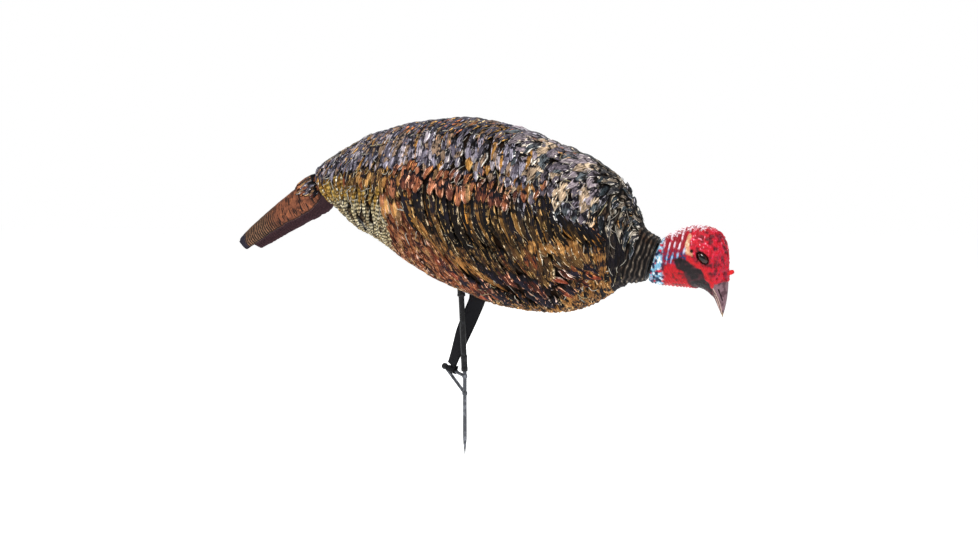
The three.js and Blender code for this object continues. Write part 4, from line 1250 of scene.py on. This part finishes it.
def make_snood():
    """The soft finger over the beak, with a wrinkled root."""
    low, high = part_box("snood")
    root = Vector((low[0] - 1.5 * MM, 0, (low[2] + high[2]) / 2 - 2.6 * MM))
    shape = bmesh.new()
    bmesh.ops.create_uvsphere(shape, u_segments=40, v_segments=48, radius=1.0)
    for vertex in shape.verts:
        along = (vertex.co.z + 1) / 2
        away = math.hypot(vertex.co.x, vertex.co.y)
        fat = 4.4 + 1.8 * (1 - along) ** 2 - 0.5 * math.sin(along * math.pi)
        ripple = 0.22 * math.sin(along * 34) * (1 - along)
        full = away ** 0.55 if away > 0 else 0
        flat = (fat + ripple) * full / max(away, 1e-6)
        vertex.co = Vector((vertex.co.x * flat, vertex.co.y * flat, along * SNOOD_LONG)) * MM
    turn = Matrix.Rotation(math.radians(90 - SNOOD_RISE), 4, "Y")
    bmesh.ops.transform(shape, matrix=Matrix.Translation(root) @ turn, verts=shape.verts)
    bmesh.ops.recalc_face_normals(shape, faces=shape.faces)
    piece = finished("snood_finger", shape)
    places = get_points(piece.data) / MM
    shade = smooth(0.1, 0.7, grain(places, 4.0))
    paint_points(piece.data, "paint", painted(tint("c8141c"), ("8a0c18", shade)))
    place(piece, HEAD_PAINT, "head", "snood_rubber", "snood")


# ---------------------------------------------------------------- neck and body base

NECK_WARMTH = np.array([1.25, 0.95, 0.75])
NECK_PITCH = 7.4  # the distance from one fold of the neck to the next, in millimetres


def neck_wave(place_mm):
    """Folds round the neck, from 0 in a crease to 1 on a crest."""
    drift = grain(place_mm, 34) * 1.5 + grain(place_mm, 13) * 0.55
    along = place_mm[:, 0] * math.cos(math.radians(NECK_LEAN)) - place_mm[:, 2] * 0.31
    return (0.5 + 0.5 * np.sin(along / NECK_PITCH * 2 * np.pi + drift * 4.2)) ** 1.3


def neck_relief(place_mm, share):
    fold = neck_wave(place_mm)
    fine = 1 - np.abs(grain(place_mm, 3.6))
    depth = 0.6 + 0.6 * grain(place_mm, 20)
    rim = 1 - smooth(0.975, 0.998, share) * 0.8
    return (fold * 2.6 * depth + fine * 0.7 - 1.0) * rim


def make_neck():
    piece, place_mm = sleeve("neck_folds", skin, 0.80, 0.997, 90, 150, neck_relief)
    fold = neck_wave(place_mm)
    streak = grain(place_mm * np.array([1, 0.5, 0.5]), 3.0)
    # Near-black in the creases and lighter on the fold crests: painted shade and painted highlight that
    # follow the folds.
    colour = painted(tint("0a090a"), ("463d36", smooth(0.45, 1.0, fold + streak * 0.35)))
    # A paler painted highlight along the tops of the crests.
    light = smooth(0.86, 1.0, fold) * smooth(0.1, 0.5, streak) * 0.75
    warm = smooth(0.2, 0.6, grain(place_mm, 14))
    paint_points(piece.data, "paint", painted(colour, (colour * NECK_WARMTH, warm), ("9c9080", light)))
    place(piece, NECK_CLOTH, "decoy", "body_skin")


def make_body_base():
    def sunk(place_mm, share):
        return np.full(len(share), -2.2) + grain(place_mm, 12) * 0.6

    # The sunk body under the feathers, painted near-black as the shade in the gaps between them.
    piece, _ = sleeve("body_base", skin, 0.0, 0.99, 90, 100, sunk, wall=1.0)
    place(piece, GAP_SHADE_UNDERLAY, "decoy", "body_skin", "body_shell")


# ---------------------------------------------------------------- tail

TIP_ROUND = 0.05


def make_tail():
    """The folded tail: an arched sheet with feather ribs raised on it."""
    shape = thin_plate(60, 80, 0.004)
    template = np.array([v.co for v in shape.verts])
    under = (np.abs(template[:, 2]) > 0.002).astype(float)
    u = np.clip(template[:, 0] * 2, -1, 1)
    v = template[:, 1] + 0.5
    degrees = u * tail_skin.SPAN / 2
    share = 1 - v * (1 - TIP_ROUND * ((1 - np.abs(u)) ** 2 + 0.7 * np.abs(u) ** 8))
    base, normal = tail_skin.point(share, degrees), tail_skin.normal(share, degrees)
    ribs = (0.5 + 0.5 * np.cos(u * 5.5 * np.pi)) ** 0.5
    fine = grain(base, 5 * MM)
    height = -1.2 + ribs * 0.9 + fine * 0.3 - under * (2.6 - 1.2 * v)
    piece = bent("tail_sheet", shape, base + normal * (height * MM)[:, None])
    mark_points(piece.data, "marks", np.stack([under, u, v], 1))
    place(piece, TAIL_PAINT, "tail", "tail_skin", "tail")


def make_tail_coverts():
    """Short feathers that lie over the root of the tail."""
    coat = Coat("tail_coverts", RIGHT, surface=tail_skin)
    rng = coat.rng
    for share, degrees, choice, count in ((0.885, 78, SLATE, 34), (0.86, 66, RUST, 26), (0.83, 50, RUST, 18)):
        roots = np.stack([rng.normal(share, 0.008, count), rng.uniform(-degrees, degrees, count)], 1)
        coat.lay(roots, [DARK(rng, count), choice(rng, count), LILAC_EDGE(rng, count)], lift=-0.6,
                 heading=rng.normal(0, 9, count), length=rng.uniform(18, 28, count), width=8.5,
                 camber=0.35, tip_lift=rng.uniform(0.8, 2.0, count), ruffle=0.8, point=0.4)
    coat.build("tail_skin", "tail")


# ---------------------------------------------------------------- pole, stake and strap

POLE_TURN = Vector(joint("decoy_turn")["axis"]).to_track_quat("Z", "Y").to_matrix().to_4x4()
STAKE_RADIUS = 3.25
SHARP_FROM = math.radians(40)


def turned_piece(name, profile, matrix, segments=48):
    """A closed solid of revolution about its own Z: profile rows are (radius, height) in millimetres."""
    shape = bmesh.new()
    verts = [shape.verts.new((r * MM, 0, z * MM)) for r, z in profile]
    edges = [shape.edges.new(pair) for pair in zip(verts, verts[1:])]
    bmesh.ops.spin(shape, geom=verts + edges, cent=(0, 0, 0), axis=(0, 0, 1), angle=2 * math.pi,
                   steps=segments, use_merge=True)
    bmesh.ops.remove_doubles(shape, verts=shape.verts, dist=1e-7)
    bmesh.ops.recalc_face_normals(shape, faces=shape.faces)
    bmesh.ops.transform(shape, matrix=matrix, verts=shape.verts)
    piece = finished(name, shape)
    piece.data.set_sharp_from_angle(angle=SHARP_FROM)
    return piece


def make_pole():
    """The pole with its ferrule, the collar where it enters the belly, and the rod below."""
    tube = [(3.5, 22.5), (4.7, 22.5), (4.7, 131), (4.7, 380), (3.5, 380), (3.5, 22.5)]
    band = [(3.5, 8.8), (4.6, 8.8), (5.4, 9.8), (5.6, 12), (5.6, 15), (5.3, 16), (5.3, 29), (5.6, 30),
            (5.6, 33), (5.3, 35), (4.8, 36.2), (4.8, 22.2), (3.5, 22.2), (3.5, 8.8)]
    collar = [(5.0, 132), (6.0, 132), (6.6, 132.8), (6.6, 136), (6.1, 137), (6.1, 164), (5.0, 164),
              (5.0, 132)]
    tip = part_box("ground_stake")[0][2] / MM
    spike = [(0, tip), (0.5, tip + 1), (1.5, tip + 10), (2.6, tip + 20), (STAKE_RADIUS, tip + 28),
             (STAKE_RADIUS, 9), (0, 9)]
    upright = Matrix.Identity(4)
    for name, profile, turn, material, body, slot, node in (
        ("pole_tube", tube, POLE_TURN, POLE_PAINT, "stake", "pole_paint", "upper_pole"),
        ("pole_ferrule", band, POLE_TURN, POLE_PAINT, "stake", "pole_paint", "ferrule"),
        ("belly_collar", collar, POLE_TURN, BLACK_PLASTIC, "decoy", "black_plastic", "belly_bushing"),
        ("stake_rod", spike, upright, STAKE_STEEL, "stake", "stake_steel", "ground_stake"),
    ):
        place(turned_piece(name, profile, turn), material, body, slot, node)


def rod(name, start, end, radius, segments=28):
    """A round bar with softly rounded ends."""
    start, end = Vector(start) * MM, Vector(end) * MM
    length = (end - start).length / MM
    edge = radius * 0.35
    profile = [(0, 0), (radius - edge, 0), (radius, edge), (radius, length - edge), (radius - edge, length),
               (0, length)]
    turn = (end - start).to_track_quat("Z", "Y").to_matrix().to_4x4()
    return turned_piece(name, profile, Matrix.Translation(start) @ turn, segments)


STEP_OUTER = np.array([-46.0, 40.0, 12.0])
STEP_UPPER = np.array([0.0, 0.0, 1.0])
STEP_LOWER = np.array([0.0, 0.0, -27.0])
STEP_RADIUS = 2.9
STEP_KNOB = 5.6
STRAP_WIDTH = 27.0
STRAP_THICK = 1.6
STRAP_TOP = np.array([18.0, 14.0, 137.5])
STRAP_TOP_TURN = 15.0
STRAP_HUB = blend(STEP_UPPER, STEP_OUTER, 0.66)
STRAP_FOOT = STRAP_HUB + np.array([0, 0, 7.0])
STRAP_FOOT_TURN = math.degrees(math.atan2(-STEP_OUTER[1], -STEP_OUTER[0]))


def make_foot_step():
    """The two rods of the foot step, their welds to the stake and the cap on their outer end."""
    for name, start in (("foot_step_bar", STEP_UPPER), ("foot_step_brace", STEP_LOWER)):
        inward = (STEP_OUTER - start) / np.linalg.norm(STEP_OUTER - start)
        piece = rod(name + "_rod", start + inward * 2.0, STEP_OUTER - inward * 1.0, STEP_RADIUS)
        place(piece, STAKE_STEEL, "stake", "stake_steel", name)
    bead = [(0, -3.4), (3.3, -3.4), (4.3, -2.6), (4.6, 0), (4.3, 2.6), (3.3, 3.4), (0, 3.4)]
    for name, z in (("upper_weld", STEP_UPPER[2]), ("lower_weld", STEP_LOWER[2])):
        piece = turned_piece(name, bead, Matrix.Translation((0, 0, z * MM)), 32)
        place(piece, STAKE_STEEL, "stake", "stake_steel")
    outer_end = Matrix.Translation(Vector(STEP_OUTER) * MM)
    shape = bmesh.new()
    bmesh.ops.create_uvsphere(shape, u_segments=32, v_segments=24, radius=STEP_KNOB * MM, matrix=outer_end)
    place(finished("foot_step_knob", shape), BLACK_PLASTIC, "stake", "black_plastic", "foot_step_cap")


def strap_route(t):
    """Points on the strap's middle line and the directions across it, for t from top to foot."""
    knots = np.array([0.0, 0.12, 0.55, 1.0])
    below_slot = STRAP_TOP + (-0.5, 0.2, -12)
    stops = np.array([STRAP_TOP, below_slot, blend(STRAP_TOP, STRAP_FOOT, 0.55), STRAP_FOOT])
    eased = np.array([np.interp(t, knots, stops[:, k]) for k in range(3)]).T
    turn = np.radians(blend(STRAP_TOP_TURN, STRAP_FOOT_TURN, smooth(0.15, 1, t)))
    across = np.stack([np.cos(turn), np.sin(turn), np.zeros_like(t)], 1)
    return eased, across


def webbing(name, centres, across):
    """A flat band of webbing along its centres, STRAP_WIDTH wide and turned as the across directions say."""
    count = len(centres)
    shape = thin_plate(8, count - 1, 0.1)
    template = np.array([v.co for v in shape.verts])
    row = np.clip(np.rint((template[:, 1] + 0.5) * (count - 1)).astype(int), 0, count - 1)
    travel = unit(np.gradient(centres, axis=0))
    across = unit(across - travel * np.sum(across * travel, -1, keepdims=True))
    flat = unit(np.cross(travel, across))
    depth = np.where(np.abs(template[:, 2]) > 0.05, -0.5, 0.5) * STRAP_THICK
    side = np.clip(template[:, 0], -0.5, 0.5)
    depth = depth * (1 - 0.5 * (np.abs(side) > 0.49))
    points = centres[row] + across[row] * (side * STRAP_WIDTH)[:, None] + flat[row] * depth[:, None]
    return bent(name, shape, points * MM)


def make_strap():
    """Flat webbing from the belly slot, twisting down to its sewn loop on the foot step."""
    t = np.linspace(0, 1, 61)
    centres, across = strap_route(t)
    centres = relaxed(centres, 8)
    piece = webbing("strap_band", centres, across)
    dress(piece, WEBBING)
    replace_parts(piece, "strap")
    tuple(STRAP_FOOT * MM)
    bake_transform(piece)
    along_step = unit(STEP_OUTER - STEP_UPPER)
    side_way = unit(np.cross(along_step, np.array([0, 0, 1.0])))
    upward = np.cross(side_way, along_step)
    reach = STEP_RADIUS + 1.2
    turns = np.radians(np.linspace(60, 480, 57))
    ring = STRAP_HUB + np.outer(np.cos(turns), side_way) * reach + np.outer(np.sin(turns), upward) * reach
    stem = STRAP_FOOT + np.outer(np.linspace(0, 1, 8), ring[0] - STRAP_FOOT)
    loop = relaxed(np.concatenate([stem[:-1], ring]), 3)
    piece = webbing("strap_loop", loop, np.tile(along_step, (len(loop), 1)))
    place(piece, WEBBING, "stake", "webbing")


# ---------------------------------------------------------------- assembly

make_body_base()
make_neck()
for flank in (RIGHT, LEFT):
    back_coat(flank)
    shoulder_coat(flank)
    rump_coat(flank)
    thigh_coat(flank)
    breast_coat(flank)
    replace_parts(wing_coat(flank), side_name(flank, "wing"))
    stray_threads(flank)
make_head()
make_eye(RIGHT)
make_eye(LEFT)
make_snood()
make_tail()
make_tail_coverts()
make_pole()
make_foot_step()
make_strap()

for node in ("neck_ring", "tail_socket", "strap_keeper", "pole_socket", "thrust_cap", "neck_spigot",
             "neck_clip", "tail_root", "tail_front_rivet", "tail_rear_rivet", "pole_tip",
             "right_wing_rear_peg", "right_wing_front_peg", "left_wing_rear_peg", "left_wing_front_peg"):
    dress(frame["nodes"][node], BLACK_PLASTIC)


# ---------------------------------------------------------------- studio

FLOOR_DROP = 1 * MM
FLOOR_SIZE = 30.0
SOFT_LIGHT = 0.42
LAMP_AIM = Vector((0, 0, 0.27))


def make_studio():
    shape = bmesh.new()
    bmesh.ops.create_grid(shape, x_segments=2, y_segments=2, size=FLOOR_SIZE / 2)
    bmesh.ops.translate(shape, verts=shape.verts, vec=(0, 0, cad_bounds[0][2] - FLOOR_DROP))
    floor = finished("studio_floor", shape)
    dress(floor, floor_finish())
    world = bpy.data.worlds.new("studio")
    world.use_nodes = True
    tree = world.node_tree
    soft = tree.nodes["Background"]
    soft.inputs[0].default_value = (1, 1, 1, 1)
    soft.inputs[1].default_value = SOFT_LIGHT
    backdrop = tree.nodes.new("ShaderNodeBackground")
    seen = tree.nodes.new("ShaderNodeLightPath")
    either = tree.nodes.new("ShaderNodeMixShader")
    tree.links.new(seen.outputs["Is Camera Ray"], either.inputs[0])
    tree.links.new(soft.outputs[0], either.inputs[1])
    tree.links.new(backdrop.outputs[0], either.inputs[2])
    backdrop.inputs[0].default_value = (1, 1, 1, 1)
    tree.links.new(either.outputs[0], tree.nodes["World Output"].inputs[0])
    bpy.context.scene.world = world
    bpy.context.scene.view_settings.view_transform = "Standard"
    for name, place_at, size, power in (
        ("key", (0.9, -1.7, 2.2), 1.0, 62),
        ("fill", (-1.9, -1.6, 1.2), 1.4, 20),
        ("rim", (0.1, 1.8, 1.9), 1.2, 46),
    ):
        lamp = bpy.data.objects.new(name, bpy.data.lights.new(name, "AREA"))
        bpy.context.scene.collection.objects.link(lamp)
        lamp.data.size = size
        lamp.data.energy = power
        lamp.location = place_at
        aim = Vector(place_at) - LAMP_AIM
        lamp.rotation_euler = aim.to_track_quat("Z", "Y").to_euler()


make_studio()
